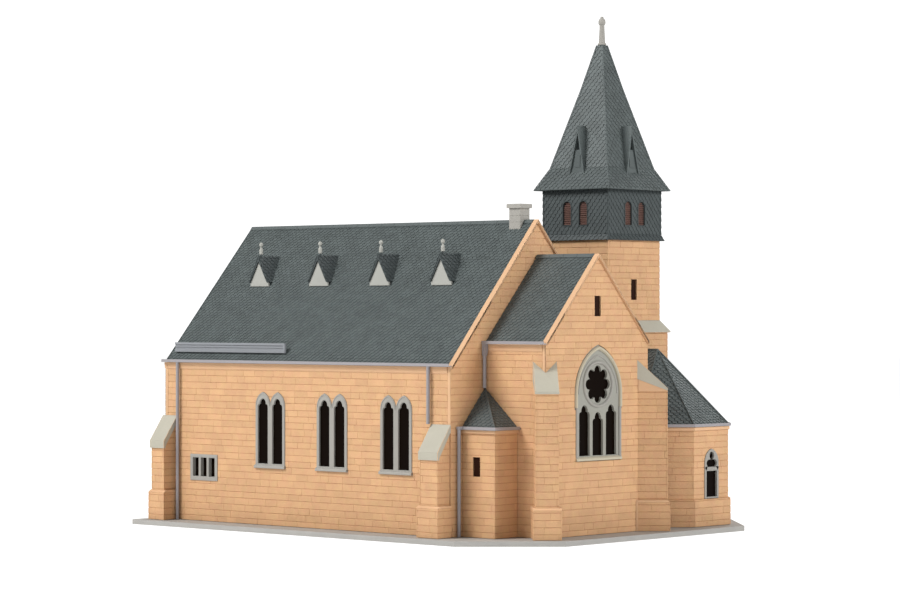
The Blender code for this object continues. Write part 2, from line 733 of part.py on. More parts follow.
def make_nave_buttress(name, centre_x, wide, side):
    """Stepped corner buttress with a plinth and a sloping cap slab."""
    face = NAVE_HALF + GAP
    front = NAVE_HALF + BUTTRESS_OUT
    half = wide / 2
    edge = BUTTRESS_CAP_EDGE
    shaft = [(face, FOOT), (front, FOOT), (front, BUTTRESS_CAP_FOOT + 0.001),
             (front, BUTTRESS_CAP_LOW - edge), (face, BUTTRESS_CAP_TOP - edge)]
    shaft = [(side * a, b) for a, b in shaft]
    item = prisms(name, [shaft], "X", centre_x - half, centre_x + half, "sandstone")
    out = front + BUTTRESS_CAP_SIDE
    slab = [(face, BUTTRESS_CAP_TOP - edge - 0.0008), (front - 0.0008, BUTTRESS_CAP_LOW - edge - 0.0002),
            (front - 0.0008, BUTTRESS_CAP_FOOT), (out, BUTTRESS_CAP_FOOT), (out, BUTTRESS_CAP_LOW),
            (face, BUTTRESS_CAP_TOP)]
    slab = [(side * a, b) for a, b in slab]
    cap_half = half + BUTTRESS_CAP_SIDE
    join(item, prisms(name + "_cap", [slab], "X", centre_x - cap_half, centre_x + cap_half))
    foot_half, foot_front = half + PLINTH_OUT, front + PLINTH_OUT
    plinth = [(face, FOOT), (foot_front, FOOT), (foot_front, PLINTH_TOP),
              (front - 0.0004, PLINTH_TOP + PLINTH_OUT), (face, PLINTH_TOP + PLINTH_OUT)]
    plinth = [(side * a, b) for a, b in plinth]
    join(item, prisms(name + "_plinth", [plinth], "X", centre_x - foot_half, centre_x + foot_half))


def make_diagonal_buttress(name, side):
    """Buttress set at 45 degrees on a chancel corner, notched to sit round it."""
    half = DIAGONAL_WIDE / 2
    back, front = -half - 0.002, DIAGONAL_OUT
    along = Vector((1, side, 0)).normalized()
    across = Vector((-side, 1, 0)).normalized()
    corner = Vector((CHANCEL_LENGTH, side * CHANCEL_HALF, 0))

    def slab(label, outline, reach, material=None):
        bm = bmesh.new()
        ends = []
        for sign in (-1, 1):
            edge = corner + across * (sign * reach)
            ends.append([bm.verts.new(edge + along * s + Vector((0, 0, z))) for s, z in outline])
        bm.faces.new(ends[0])
        bm.faces.new(ends[1])
        for k in range(len(outline)):
            n = (k + 1) % len(outline)
            bm.faces.new((ends[0][k], ends[0][n], ends[1][n], ends[1][k]))
        return add_object(label, finish_mesh(label, bm), material)

    bed = 0.0006
    shaft = [(back, FOOT), (front, FOOT), (front, DIAGONAL_CAP_FOOT + bed), (back, DIAGONAL_CAP_BACK + bed)]
    item = slab(name, shaft, half, "sandstone")
    pitch = (DIAGONAL_CAP_TOP - DIAGONAL_CAP_LOW) / (half + front)
    back_top = DIAGONAL_CAP_TOP + pitch * (-half - back)
    out = front + DIAGONAL_CAP_SIDE
    cap = [(back, DIAGONAL_CAP_BACK), (out, DIAGONAL_CAP_FOOT), (out, DIAGONAL_CAP_LOW),
           (back, back_top)]
    join(item, slab(name + "_cap", cap, half + DIAGONAL_CAP_SIDE))
    foot = front + PLINTH_OUT
    plinth = [(back, FOOT), (foot, FOOT), (foot, PLINTH_TOP),
              (front - 0.0004, PLINTH_TOP + PLINTH_OUT), (back, PLINTH_TOP + PLINTH_OUT)]
    join(item, slab(name + "_plinth", plinth, half + PLINTH_OUT))
    low = (-WALL, -side * 0.001, -WALL)
    high = (CHANCEL_LENGTH + GAP, side * (CHANCEL_HALF + GAP), CHANCEL_COPING_TOP)
    ordered = [(min(a, b), max(a, b)) for a, b in zip(low, high)]
    corners = [(tuple(p[0] for p in ordered), tuple(p[1] for p in ordered))]
    cut(item, boxes(name + "_corner", corners))


def make_chancel():
    start, end = GAP, CHANCEL_LENGTH - WALL - GAP
    for label, side, past in (("south", -1, 0.0006), ("north", 1, -0.0030)):
        profile = side_wall_profile(CHANCEL_HALF, CHANCEL_CORNICE_TOP, CHANCEL_COPING_TOP,
                                    CHANCEL_PITCH, side)
        prisms(f"chancel_{label}_wall", [profile], "X", start, end, "sandstone")
        profile = roof_profile(CHANCEL_HALF, CHANCEL_COPING_TOP, CHANCEL_PITCH, side)
        slab = prisms(f"chancel_roof_{label}", [profile], "X", start, end, "slate")
        cut(slab, nave_coping_envelope(f"chancel_roof_{label}_coping_cut"))
        floor = CHANCEL_CORNICE_TOP + GAP
        gutter = prisms(f"chancel_gutter_{label}", [gutter_profile(CHANCEL_HALF, floor, side)], "X",
                        start, CHANCEL_LENGTH + past, "gutter")
        pipe_y = side * (CHANCEL_HALF + PIPE_STAND_OFF)
        low = TURRET_APEX - 0.0005 if side < 0 else FOOT
        join(gutter, pipe(f"chancel_pipe_{label}", CHANCEL_PIPE_X, pipe_y, low, floor + GUTTER_WALL / 2))
        join(gutter, rain_head(f"chancel_rain_head_{label}", side, floor + GUTTER_WALL / 2))
    openings = [great_window_outline(GREAT_CENTRE, 0.0, GAP), gable_slit(0.0, 0.0)]
    gable("chancel_gable", CHANCEL_HALF, CHANCEL_COPING_TOP, CHANCEL_PITCH,
          CHANCEL_LENGTH - WALL, CHANCEL_LENGTH, COPING_PROUD, openings)


def rain_head(name, side, top):
    """Small box under the chancel gutter, narrowing down to the rainwater pipe."""
    near, far = CHANCEL_HALF + CORNICE_OUT + GAP, CHANCEL_HALF + RAIN_HEAD_OUT
    west, east = CHANCEL_PIPE_X - PIPE_R, CHANCEL_PIPE_X - PIPE_R + RAIN_HEAD_WIDE
    neck = RAIN_HEAD_FOOT + 0.0024

    def ring(x_high, y_far, z):
        corners = ((west, near, z), (x_high, near, z), (x_high, y_far, z), (west, y_far, z))
        return [(x, side * y, z) for x, y, z in corners]

    slim = west + 2 * PIPE_R
    low_ring = ring(slim, near + 2 * PIPE_R - 0.0001, RAIN_HEAD_FOOT)
    return loft(name, [low_ring, ring(east, far, neck), ring(east, far, top)])


def nave_coping_envelope(name):
    """Strip that clears the nave's east coping, for roofs that reach its gable."""
    foot = NAVE_COPING_TOP - NAVE_PITCH * NAVE_HALF
    deep = COPING_FACE + GAP
    band = [(-NAVE_HALF, foot - deep), (0, NAVE_COPING_TOP - deep), (NAVE_HALF, foot - deep),
            (NAVE_HALF, foot + deep), (0, NAVE_COPING_TOP + deep), (-NAVE_HALF, foot + deep)]
    return prisms(name, [band], "X", -WALL, COPING_PROUD + GAP)


def make_turret():
    """Small rectangular stair turret in the corner of nave gable and chancel wall."""
    inner_x, inner_y = GAP, -CHANCEL_HALF - GAP
    east, south = TURRET_EAST, TURRET_SOUTH
    top = TURRET_WALL_TOP - 0.0004
    outline = [(inner_x, south), (east, south), (east, inner_y), (east - WALL, inner_y),
               (east - WALL, south + WALL), (inner_x, south + WALL)]
    walls = prisms("turret_walls", [outline], "Z", FOOT, top + 0.0001, "sandstone")
    out = CORNICE_OUT
    band = [(inner_x, south - out), (east + out, south - out), (east + out, inner_y),
            (east - WALL, inner_y), (east - WALL, south + WALL), (inner_x, south + WALL)]
    join(walls, prisms("turret_cornice", [band], "Z", top, TURRET_CORNICE_TOP - GAP))
    west, east = TURRET_SLIT_X - SLIT_HALF, TURRET_SLIT_X + SLIT_HALF
    slit = rectangle(west, east, TURRET_SLIT_FOOT, TURRET_SLIT_TOP)
    cut(walls, prisms("turret_slit", [slit], "Y", south - WALL, south + 2 * WALL))
    pane = rectangle(TURRET_SLIT_X - 2 * SLIT_HALF, TURRET_SLIT_X + 2 * SLIT_HALF,
                     TURRET_SLIT_FOOT - WALL, TURRET_SLIT_TOP + WALL)
    pane_y = south + WALL + GAP
    item = prisms("turret_pane", [pane], "Y", pane_y, pane_y + PANE_THICK, "glass")
    plug = rectangle(west + GAP, east - GAP, TURRET_SLIT_FOOT + GAP, TURRET_SLIT_TOP - GAP)
    join(item, prisms("turret_plug", [plug], "Y", south + SLIT_DEPTH, pane_y + PANE_THICK / 2))
    make_turret_roof(inner_x, inner_y)
    make_turret_gutter(inner_x, inner_y)


def make_turret_roof(inner_x, inner_y):
    east, south = TURRET_EAST + TURRET_EAVES_OUT, TURRET_SOUTH - TURRET_EAVES_OUT
    floor = TURRET_CORNICE_TOP + GUTTER_WALL + GAP
    bm = bmesh.new()
    corners = ((inner_x, south), (east, south), (east, inner_y), (inner_x, inner_y))
    low = [bm.verts.new((x, y, floor)) for x, y in corners]
    apex = bm.verts.new((inner_x, inner_y, TURRET_APEX))
    bm.faces.new(low)
    for k in range(4):
        n = (k + 1) % 4
        bm.faces.new((low[k], low[n], apex))
    roof = add_object("turret_roof", finish_mesh("turret_roof", bm), "slate")
    cut(roof, nave_coping_envelope("turret_roof_coping_cut"))


def make_turret_gutter(inner_x, inner_y):
    floor = TURRET_CORNICE_TOP
    inner_e, inner_s = TURRET_EAST - 0.0002, TURRET_SOUTH + 0.0002
    east = TURRET_EAST + CORNICE_OUT + GUTTER_OUT - 0.0008
    south = TURRET_SOUTH - CORNICE_OUT - GUTTER_OUT + 0.0008
    ring = [(inner_x, south), (east, south), (east, inner_y), (inner_e, inner_y), (inner_e, inner_s),
            (inner_x, inner_s)]
    item = prisms("turret_gutter", [ring], "Z", floor, floor + GUTTER_WALL, "gutter")
    thick = GUTTER_WALL
    lip = [(inner_x, south), (east, south), (east, inner_y), (east - thick, inner_y),
           (east - thick, south + thick), (inner_x, south + thick)]
    join(item, prisms("turret_gutter_lip", [lip], "Z", floor + GUTTER_WALL / 2, floor + GUTTER_TALL))
    neck_low = (TURRET_PIPE_X - PIPE_R, TURRET_PIPE_Y - PIPE_R, floor)
    neck_high = (TURRET_PIPE_X + PIPE_R, south + thick, floor + GUTTER_TALL)
    join(item, boxes("turret_gutter_neck", [(neck_low, neck_high)]))
    join(item, pipe("turret_pipe", TURRET_PIPE_X, TURRET_PIPE_Y, FOOT, floor + GUTTER_WALL))


def square(half, z, centre=(TOWER_X, TOWER_Y)):
    x, y = centre
    signs = ((-1, -1), (1, -1), (1, 1), (-1, 1))
    return [(x + half * a, y + half * b, z) for a, b in signs]


def tower_slit(centre, by):
    low, high = TOWER_SLIT_FOOT - by, TOWER_SLIT_TOP + by
    return rectangle(centre - SLIT_HALF - by, centre + SLIT_HALF + by, low, high)


def cut_tower_slits(shaft, reach):
    ends_x, ends_y = (TOWER_X - reach, TOWER_X + reach), (TOWER_Y - reach, TOWER_Y + reach)
    cut(shaft, prisms("tower_slits_x", [tower_slit(TOWER_Y, 0.0)], "X", *ends_x))
    cut(shaft, prisms("tower_slits_y", [tower_slit(TOWER_X, 0.0)], "Y", *ends_y))


def add_tower_plugs(lining, reach):
    ends_x, ends_y = (TOWER_X - reach, TOWER_X + reach), (TOWER_Y - reach, TOWER_Y + reach)
    join(lining, prisms("tower_plugs_x", [tower_slit(TOWER_Y, -GAP)], "X", *ends_x))
    join(lining, prisms("tower_plugs_y", [tower_slit(TOWER_X, -GAP)], "Y", *ends_y))


def make_tower():
    """Hollow square shaft; its lower stage is wider except where it meets the nave."""
    shaft = loft("tower_shaft", [square(TOWER_HALF, FOOT), square(TOWER_HALF, TOWER_TOP)], "sandstone")
    south = TOWER_Y - TOWER_HALF
    out = TOWER_HALF + TOWER_STAGE_OUT

    def stage_ring(reach, z):
        return [(TOWER_X - reach, south, z), (TOWER_X + reach, south, z),
                (TOWER_X + reach, TOWER_Y + reach, z), (TOWER_X - reach, TOWER_Y + reach, z)]

    lip = out + TOWER_OFFSET_LIP
    steps = ((out, FOOT), (out, TOWER_OFFSET_LOW - 0.0006), (lip, TOWER_OFFSET_LOW - 0.0005),
             (lip, TOWER_OFFSET_LOW), (TOWER_HALF - 0.0001, TOWER_OFFSET_TOP + 0.0001))
    rings = [stage_ring(reach, z) for reach, z in steps]
    join(shaft, loft("tower_stage", rings))
    inner = TOWER_HALF - WALL
    cut(shaft, loft("tower_hollow", [square(inner, -WALL), square(inner, TOWER_TOP + WALL)]))
    cut_tower_slits(shaft, 2 * TOWER_HALF)
    low, high = TOWER_SLIT_FOOT - WALL, TOWER_SLIT_TOP + WALL
    lining = loft("tower_lining", [square(inner - GAP, low), square(inner - GAP, high)], "glass")
    thin = inner - GAP - PANE_THICK
    add_tower_plugs(lining, TOWER_HALF - SLIT_DEPTH)
    cut(lining, loft("tower_lining_hollow", [square(thin, low - WALL), square(thin, high + WALL)]))


def louvre_outlines(centre):
    outlines = []
    for k in (-1, 1):
        across = centre + k * LOUVRE_SPACING / 2
        top = LOUVRE_SPRING + LOUVRE_HALF
        outlines.append(pointed(across, LOUVRE_HALF, LOUVRE_FOOT, LOUVRE_SPRING, top, 4))
    return outlines


def make_belfry():
    """Slated box with a flared foot and pairs of round-headed openings."""
    skirt = BELFRY_HALF + BELFRY_SKIRT
    rings = [square(skirt, BELFRY_FLOOR), square(BELFRY_HALF, BELFRY_FLOOR + BELFRY_SKIRT_TALL),
             square(BELFRY_HALF, BELFRY_TOP)]
    item = loft("belfry", rings, "slate")
    inner = BELFRY_HALF - WALL
    cut(item, loft("belfry_hollow", [square(inner, BELFRY_FLOOR - WALL), square(inner, BELFRY_TOP + WALL)]))
    reach = 2 * BELFRY_HALF
    cut(item, prisms("belfry_holes_x", louvre_outlines(TOWER_Y), "X", TOWER_X - reach, TOWER_X + reach))
    cut(item, prisms("belfry_holes_y", louvre_outlines(TOWER_X), "Y", TOWER_Y - reach, TOWER_Y + reach))
    low, high = BELFRY_FLOOR + GAP, BELFRY_TOP - GAP
    outer = inner - GAP
    louvres = loft("belfry_louvres", [square(outer, low), square(outer, high)], "louvre")
    thin = outer - 2 * PANE_THICK
    cut(louvres, loft("belfry_louvres_hollow", [square(thin, low - WALL), square(thin, high + WALL)]))


def make_spire():
    """Four-sided spire with a sprocketed foot and a tall narrow lucarne on each face."""
    rings = [square(SPIRE_EAVES_HALF, SPIRE_EAVES), square(SPIRE_KINK_HALF, SPIRE_KINK),
             square(SPIRE_BEND_HALF, SPIRE_BEND), square(SPIRE_TOP_HALF, SPIRE_TOP)]
    item = loft("spire", rings, "slate")
    for number in range(4):
        turn = math.pi / 2 * number
        out = Vector((math.cos(turn), math.sin(turn), 0))
        side = Vector((-math.sin(turn), math.cos(turn), 0))
        middle = Vector((TOWER_X, TOWER_Y, 0))
        bm = bmesh.new()
        ends = []
        for depth in (0.004, LUCARNE_FRONT):
            triangle = ((-LUCARNE_HALF, LUCARNE_FOOT), (LUCARNE_HALF, LUCARNE_FOOT), (0.0, LUCARNE_APEX))
            base = middle + out * depth
            ends.append([bm.verts.new(base + side * a + Vector((0, 0, z))) for a, z in triangle])
        bm.faces.new(ends[0])
        bm.faces.new(ends[1])
        for k in range(3):
            n = (k + 1) % 3
            bm.faces.new((ends[0][k], ends[0][n], ends[1][n], ends[1][k]))
        label = f"lucarne_{number}"
        join(item, add_object(label, finish_mesh(label, bm)))
    shell = SPIRE_SHELL
    hollow_top = SPIRE_TOP - 0.020
    share = (hollow_top - SPIRE_KINK) / (SPIRE_TOP - SPIRE_KINK)
    top_half = SPIRE_KINK_HALF + share * (SPIRE_TOP_HALF - SPIRE_KINK_HALF) - shell
    inner_foot = BELFRY_HALF - WALL
    rings = [square(inner_foot, SPIRE_EAVES - WALL), square(inner_foot, SPIRE_EAVES + 0.0005),
             square(SPIRE_KINK_HALF - shell, SPIRE_KINK), square(top_half, hollow_top)]
    cut(item, loft("spire_hollow", rings))
    turned("spire_finial", FINIAL_PROFILE, (TOWER_X, TOWER_Y), "trim", 16)


def octagon_points(half):
    """Plan points of the chapel from its south wall round the east to its north wall."""
    side = half * math.tan(math.pi / 8)
    x, y = CHAPEL_X, CHAPEL_Y
    return [(x + side, y - half), (x + half, y - side), (x + half, y + side), (x + side, y + half)]


def chapel_plan(half, south_end, north_end):
    """Closed plan outline: the half octagon carried west to the nave and tower."""
    points = octagon_points(half)
    return [(south_end, CHAPEL_Y - half)] + points + [(north_end, CHAPEL_Y + half)]


def chapel_west_edge():
    """West outline of the chapel, from the tower's north-east corner to the nave."""
    nave_x = GAP
    tower_x = TOWER_X + TOWER_HALF + TOWER_STAGE_OUT + 2 * GAP
    corner_y = TOWER_Y - TOWER_HALF - GAP
    return nave_x, tower_x, corner_y


def make_chapel_walls():
    nave_x, tower_x, _ = chapel_west_edge()
    tower_north = TOWER_Y + TOWER_HALF + TOWER_STAGE_OUT
    half, inner = CHAPEL_HALF, CHAPEL_HALF - WALL

    def ring(outer_half, inner_half):
        outline = chapel_plan(outer_half, nave_x, tower_x)
        outline += [(tower_x, tower_north - WALL), (tower_x + WALL, tower_north - WALL)]
        outline += [(tower_x + WALL, CHAPEL_Y + inner_half)]
        outline += list(reversed(octagon_points(inner_half)))
        outline += [(nave_x, CHAPEL_Y - inner_half)]
        return outline

    walls = prisms("chapel_walls", [ring(half, inner)], "Z", FOOT, CHAPEL_WALL_TOP, "sandstone")
    cornice = ring(half + CORNICE_OUT, inner)
    join(walls, prisms("chapel_cornice", [cornice], "Z", CHAPEL_WALL_TOP - 0.0002, CHAPEL_CORNICE_TOP))
    plinth = ring(half + PLINTH_OUT, inner)
    join(walls, prisms("chapel_plinth", [plinth], "Z", FOOT, CHAPEL_PLINTH_TOP))
    hole = chapel_window_outline(GAP)
    east = CHAPEL_X + CHAPEL_HALF
    cut(walls, prisms("chapel_hole", [hole], "X", east - 2 * WALL, east + 2 * WALL))


def chapel_window_outline(by):
    half, foot, top = CHAPEL_WINDOW_HALF + by, CHAPEL_WINDOW_FOOT - by, CHAPEL_WINDOW_TOP + by
    return pointed(CHAPEL_Y, half, foot, CHAPEL_WINDOW_SPRING, top)


def make_chapel_window():
    east = CHAPEL_X + CHAPEL_HALF
    inner = east - WALL - GAP
    front = east + FRAME_PROUD
    sheet = rectangle(CHAPEL_Y - CHAPEL_WINDOW_HALF - WALL, CHAPEL_Y + CHAPEL_WINDOW_HALF + WALL,
                      CHAPEL_WINDOW_FOOT - WALL, CHAPEL_WINDOW_TOP + WALL)
    item = prisms("chapel_window", [sheet], "X", inner - PANE_THICK, inner, "glass")
    outline = chapel_window_outline(0.0)
    framing = prisms("chapel_window_frame", [outline], "X", inner - PANE_THICK / 2, front)
    half = CHAPEL_LIGHT_HALF
    lights = [
        rectangle(CHAPEL_Y - half, CHAPEL_Y + half, CHAPEL_LIGHT_FOOT, CHAPEL_BAR_LOW),
        pointed(CHAPEL_Y, half, CHAPEL_BAR_HIGH, CHAPEL_LOBE_TOP - 0.0026, CHAPEL_LOBE_TOP + 0.0010, 4),
    ]
    cut(framing, prisms("chapel_window_lights", lights, "X", inner, front + WALL))
    eye = circle(CHAPEL_Y, CHAPEL_EYE_Z, CHAPEL_EYE_HALF, 14)
    cut(framing, prisms("chapel_window_eye", [eye], "X", inner, front + WALL))
    join(item, framing)


def make_chapel_roof():
    """Hipped roof over the half octagon, with a short ridge back to the tower."""
    nave_x, tower_x, corner_y = chapel_west_edge()
    eaves = CHAPEL_HALF + CHAPEL_EAVES_OUT
    foot = CHAPEL_CORNICE_TOP + GUTTER_WALL + 2 * GAP
    west = TOWER_X

    def tent(name, reach, low, high, material=None):
        points = [(west, CHAPEL_Y - reach)] + octagon_points(reach) + [(west, CHAPEL_Y + reach)]
        bm = bmesh.new()
        base = [bm.verts.new((x, y, low)) for x, y in points]
        ridge_west = bm.verts.new((west, CHAPEL_Y, high))
        apex = bm.verts.new((CHAPEL_X, CHAPEL_Y, high))
        bm.faces.new(base)
        bm.faces.new((base[0], base[1], apex, ridge_west))
        for k in (1, 2, 3):
            bm.faces.new((base[k], base[k + 1], apex))
        bm.faces.new((base[4], base[5], ridge_west, apex))
        bm.faces.new((base[5], base[0], ridge_west))
        return add_object(name, finish_mesh(name, bm), material)

    item = tent("chapel_roof", eaves, foot, CHAPEL_APEX, "slate")
    slope = (CHAPEL_APEX - foot) / eaves
    inner_reach = CHAPEL_HALF - WALL
    inner_high = CHAPEL_APEX - ROOF_DROP
    inner_low = inner_high - slope * inner_reach
    inner = tent("chapel_roof_hollow", inner_reach + 0.004, inner_low - slope * 0.004, inner_high)
    cut(item, inner)
    out = 0.1
    boxes_to_clear = [
        ((-out, 0.0, -0.01), (nave_x, corner_y, 0.2)),
        ((-out, corner_y - 0.001, -0.01), (tower_x, CHAPEL_Y + out, 0.2)),
    ]
    cut(item, boxes("chapel_roof_west_cut", boxes_to_clear[:1]))
    cut(item, boxes("chapel_roof_tower_cut", boxes_to_clear[1:]))


def make_chapel_gutter():
    nave_x, tower_x, _ = chapel_west_edge()
    floor = CHAPEL_CORNICE_TOP + GAP
    inner = CHAPEL_HALF - 0.0002
    outer = CHAPEL_HALF + CHAPEL_GUTTER_OUT

    def band(outer_half, inner_half):
        points = chapel_plan(outer_half, nave_x, tower_x)
        return points + list(reversed(chapel_plan(inner_half, nave_x, tower_x)))

    item = prisms("chapel_gutter", [band(outer, inner)], "Z", floor, floor + GUTTER_WALL, "gutter")
    lip = band(outer, outer - GUTTER_WALL)
    join(item, prisms("chapel_gutter_lip", [lip], "Z", floor + GUTTER_WALL / 2, floor + GUTTER_TALL))


def main():
    make_base_plate()
    make_nave_walls()
    make_windows()
    make_west_door()
    make_nave_roof()
    make_dormers()
    make_snow_rail()
    make_chimney()
    make_nave_gutters()
    make_nave_buttress("buttress_south_east", BUTTRESS_EAST_X, BUTTRESS_EAST_WIDE, -1)
    make_nave_buttress("buttress_south_west", BUTTRESS_WEST_X, BUTTRESS_WEST_WIDE, -1)
    make_nave_buttress("buttress_north_west", BUTTRESS_WEST_X, BUTTRESS_WEST_WIDE, 1)
    make_chancel()
    make_diagonal_buttress("chancel_buttress_south", -1)
    make_diagonal_buttress("chancel_buttress_north", 1)
    make_turret()
    make_tower()
    make_belfry()
    make_spire()
    make_chapel_walls()
    make_chapel_window()
    make_chapel_roof()
    make_chapel_gutter()


clear_scene()
MATERIALS = {name: plastic(name) for name in COLOURS}
BUILDING = bpy.data.objects.new("building_frame", None)
bpy.context.scene.collection.objects.link(BUILDING)
BUILDING.location = (-ORIGIN_X, -ORIGIN_Y, PLATE_THICK - PLATE_TOP)
main()
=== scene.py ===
# Looks of the moulded church model: coursed stone, slated roofs, traceried windows,
# rainwater goods and the base plate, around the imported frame.
# Sizes are in millimetres of the building frame: X runs along the nave towards the
# chancel from the outer face of the nave's east gable, Y is zero on the nave's axis and
# negative on the window side, and Z is zero just below the top of the base plate.
import math
import random

import bmesh
import bpy
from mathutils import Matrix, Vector


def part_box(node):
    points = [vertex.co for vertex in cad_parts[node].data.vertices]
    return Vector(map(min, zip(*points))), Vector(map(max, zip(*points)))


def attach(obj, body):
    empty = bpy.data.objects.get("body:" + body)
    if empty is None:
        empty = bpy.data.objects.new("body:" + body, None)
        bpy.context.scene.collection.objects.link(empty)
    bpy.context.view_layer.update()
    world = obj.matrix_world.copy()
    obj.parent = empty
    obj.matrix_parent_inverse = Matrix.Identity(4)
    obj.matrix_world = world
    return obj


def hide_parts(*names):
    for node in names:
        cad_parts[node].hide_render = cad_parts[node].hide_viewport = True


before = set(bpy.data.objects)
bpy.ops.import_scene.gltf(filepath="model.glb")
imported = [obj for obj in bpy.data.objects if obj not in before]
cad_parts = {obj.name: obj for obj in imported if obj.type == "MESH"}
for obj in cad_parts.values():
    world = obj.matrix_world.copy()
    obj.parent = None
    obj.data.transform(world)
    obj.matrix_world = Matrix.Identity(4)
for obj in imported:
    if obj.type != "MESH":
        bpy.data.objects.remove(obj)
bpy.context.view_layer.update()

MM = 0.001
COPING_PROUD = 1.0
PLATE_TOP = 0.5
SEED = 20

# Main sizes of the building, as in the frame
NAVE_WEST = -205.6
NAVE_HALF = 64.5
NAVE_RIDGE = 157.0
NAVE_PITCH = 1.130
CHANCEL_EAST = 39.5
CHANCEL_HALF = 39.6
CHANCEL_RIDGE = 139.3
CHANCEL_PITCH = 1.095
WALL = 2.0
SEAM = 0.15
FOOT = PLATE_TOP + SEAM
COPING_FACE = 1.6
ROOF_BELOW_COPING = 0.2
NAVE_ROOF_TOP = NAVE_RIDGE - ROOF_BELOW_COPING
ROOF_DROP = 2.2
VERGE_OUT = 0.3
TOWER_X = -29.1
TOWER_Y = 86.7
TOWER_HALF = 21.8
STAGE_HALF = 24.8
CHAPEL_X = 8.6
CHAPEL_Y = 86.6
CHAPEL_HALF = 35.0

# Stonework
COURSE = 3.3
COURSE_SPREAD = 0.32
BLOCK_SHORT = 5.5
BLOCK_LONG = 12.5
JOINT_TALL = 0.26
JOINT_WIDE = 0.04
JOINT_DEEP = 0.24
RECESS_STEP = 0.007
BLOCK_BED = 0.55
ARRIS = 0.14
ARRIS_SIDE = 0.05
BLOCK_SINK = 0.09
BLOCK_TILT = 0.09
LEAST_BLOCK = 0.2
COURSES_TOP = 160.0
COPING_SHORT = 9.0
COPING_LONG = 12.0
COPING_LEAST = 3.0
COPING_JOINT = 0.10

# Slates
SLATE_WIDE = 3.0
SLATE_SHOW = 1.8
SLATE_TAIL = 1.25
SLATE_SIDE_GAP = 0.30
SLATE_HEAD = 0.45
SLATE_THICK = 0.24
SLATE_KICK = 0.50
SLATE_SINK = 0.50
LEAST_SLATE = 0.25


def base_offset():
    """Place of the building frame's zero in the row frame, in millimetres."""
    low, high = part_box("nave_east_gable")
    plate_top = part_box("base_plate")[1].z / MM
    return Vector((high.x / MM - COPING_PROUD, (low.y + high.y) / 2 / MM, plate_top - PLATE_TOP))


BASE = base_offset()


class Solid:
    """Points and faces of one piece, with a number for each face's material."""

    def __init__(self):
        self.points = []
        self.faces = []
        self.kinds = []

    def add(self, points, faces, kind=0):
        start = len(self.points)
        self.points += [Vector(p) for p in points]
        self.faces += [tuple(start + i for i in face) for face in faces]
        self.kinds += [kind] * len(faces)

    def rings(self, rings, kind=0):
        """A closed shell through rings of equal counts, with a cap on each end."""
        size = len(rings[0])
        last = (len(rings) - 1) * size
        faces = [tuple(range(size))] + band(rings, False) + [tuple(range(last, last + size))]
        self.add([p for ring in rings for p in ring], faces, kind)

    def loop(self, rings, kind=0):
        """A tube through rings of equal counts, whose last ring joins the first."""
        self.add([p for ring in rings for p in ring], band(rings, True), kind)

    def merge(self, other, kind=None):
        start = len(self.points)
        self.points += other.points
        self.faces += [tuple(start + i for i in face) for face in other.faces]
        self.kinds += other.kinds if kind is None else [kind] * len(other.faces)


def band(rings, closed):
    """Faces from each ring to the next one, and if closed from the last to the first."""
    size = len(rings[0])
    faces = []
    for k in range(len(rings) if closed else len(rings) - 1):
        n = (k + 1) % len(rings)
        for i in range(size):
            j = (i + 1) % size
            faces.append((k * size + i, k * size + j, n * size + j, n * size + i))
    return faces


def extrude_x(solid, section, west, east):
    """A bar along X whose section gives Y and Z."""
    solid.rings([[(x, y, z) for y, z in section] for x in (west, east)])


def build_mesh(name, solid, scale=1.0, shift=Vector()):
    """A mesh with outward faces, made of a solid's points after a shift and a scale."""
    mesh = bpy.data.meshes.new(name)
    mesh.from_pydata([(p + shift) * scale for p in solid.points], [], solid.faces)
    for polygon, kind in zip(mesh.polygons, solid.kinds):
        polygon.material_index = kind
    bm = bmesh.new()
    bm.from_mesh(mesh)
    bmesh.ops.recalc_face_normals(bm, faces=bm.faces)
    bm.to_mesh(mesh)
    bm.free()
    return mesh


def add_object(name, data):
    item = bpy.data.objects.new(name, data)
    bpy.context.scene.collection.objects.link(item)
    return item


def add_piece(name, solid, materials, nodes=(), smooth=None):
    """Makes a finished piece that rides on the building and stands for CAD nodes."""
    mesh = build_mesh(name, solid, MM, BASE)
    for material in materials:
        mesh.materials.append(material)
    if smooth is not None:
        mesh.shade_smooth()
        mesh.set_sharp_from_angle(angle=math.radians(smooth))
    piece = add_object(name, mesh)
    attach(piece, "root")
    if nodes:
        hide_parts(*nodes)


def evaluated_mesh(item):
    """The mesh of an object as its modifiers or its curve settings make it."""
    bpy.context.view_layer.update()
    graph = bpy.context.evaluated_depsgraph_get()
    return bpy.data.meshes.new_from_object(item.evaluated_get(graph))


def node_solid(node):
    """A CAD node's mesh in millimetres of the building frame, with its seams closed."""
    bm = bmesh.new()
    bm.from_mesh(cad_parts[node].data)
    bmesh.ops.remove_doubles(bm, verts=bm.verts, dist=0.002 * MM)
    bm.verts.index_update()
    solid = Solid()
    solid.add([v.co / MM - BASE for v in bm.verts], [tuple(v.index for v in f.verts) for f in bm.faces])
    bm.free()
    return solid


def carve(solid, cutter, tangled=False):
    """The first solid less the second one; tangled ones are made of overlapping shells."""
    objects = []
    for label, part in (("carve_base", solid), ("carve_tool", cutter)):
        objects.append(add_object(label, build_mesh(label, part)))
    base, tool = objects
    modifier = base.modifiers.new("carve", "BOOLEAN")
    modifier.operation = "DIFFERENCE"
    modifier.solver = "EXACT"
    modifier.use_self = tangled
    modifier.object = tool
    result = evaluated_mesh(base)
    made = Solid()
    made.add([v.co for v in result.vertices], [tuple(p.vertices) for p in result.polygons])
    meshes = [base.data, tool.data, result]
    for item in objects:
        bpy.data.objects.remove(item)
    for mesh in meshes:
        bpy.data.meshes.remove(mesh)
    return made


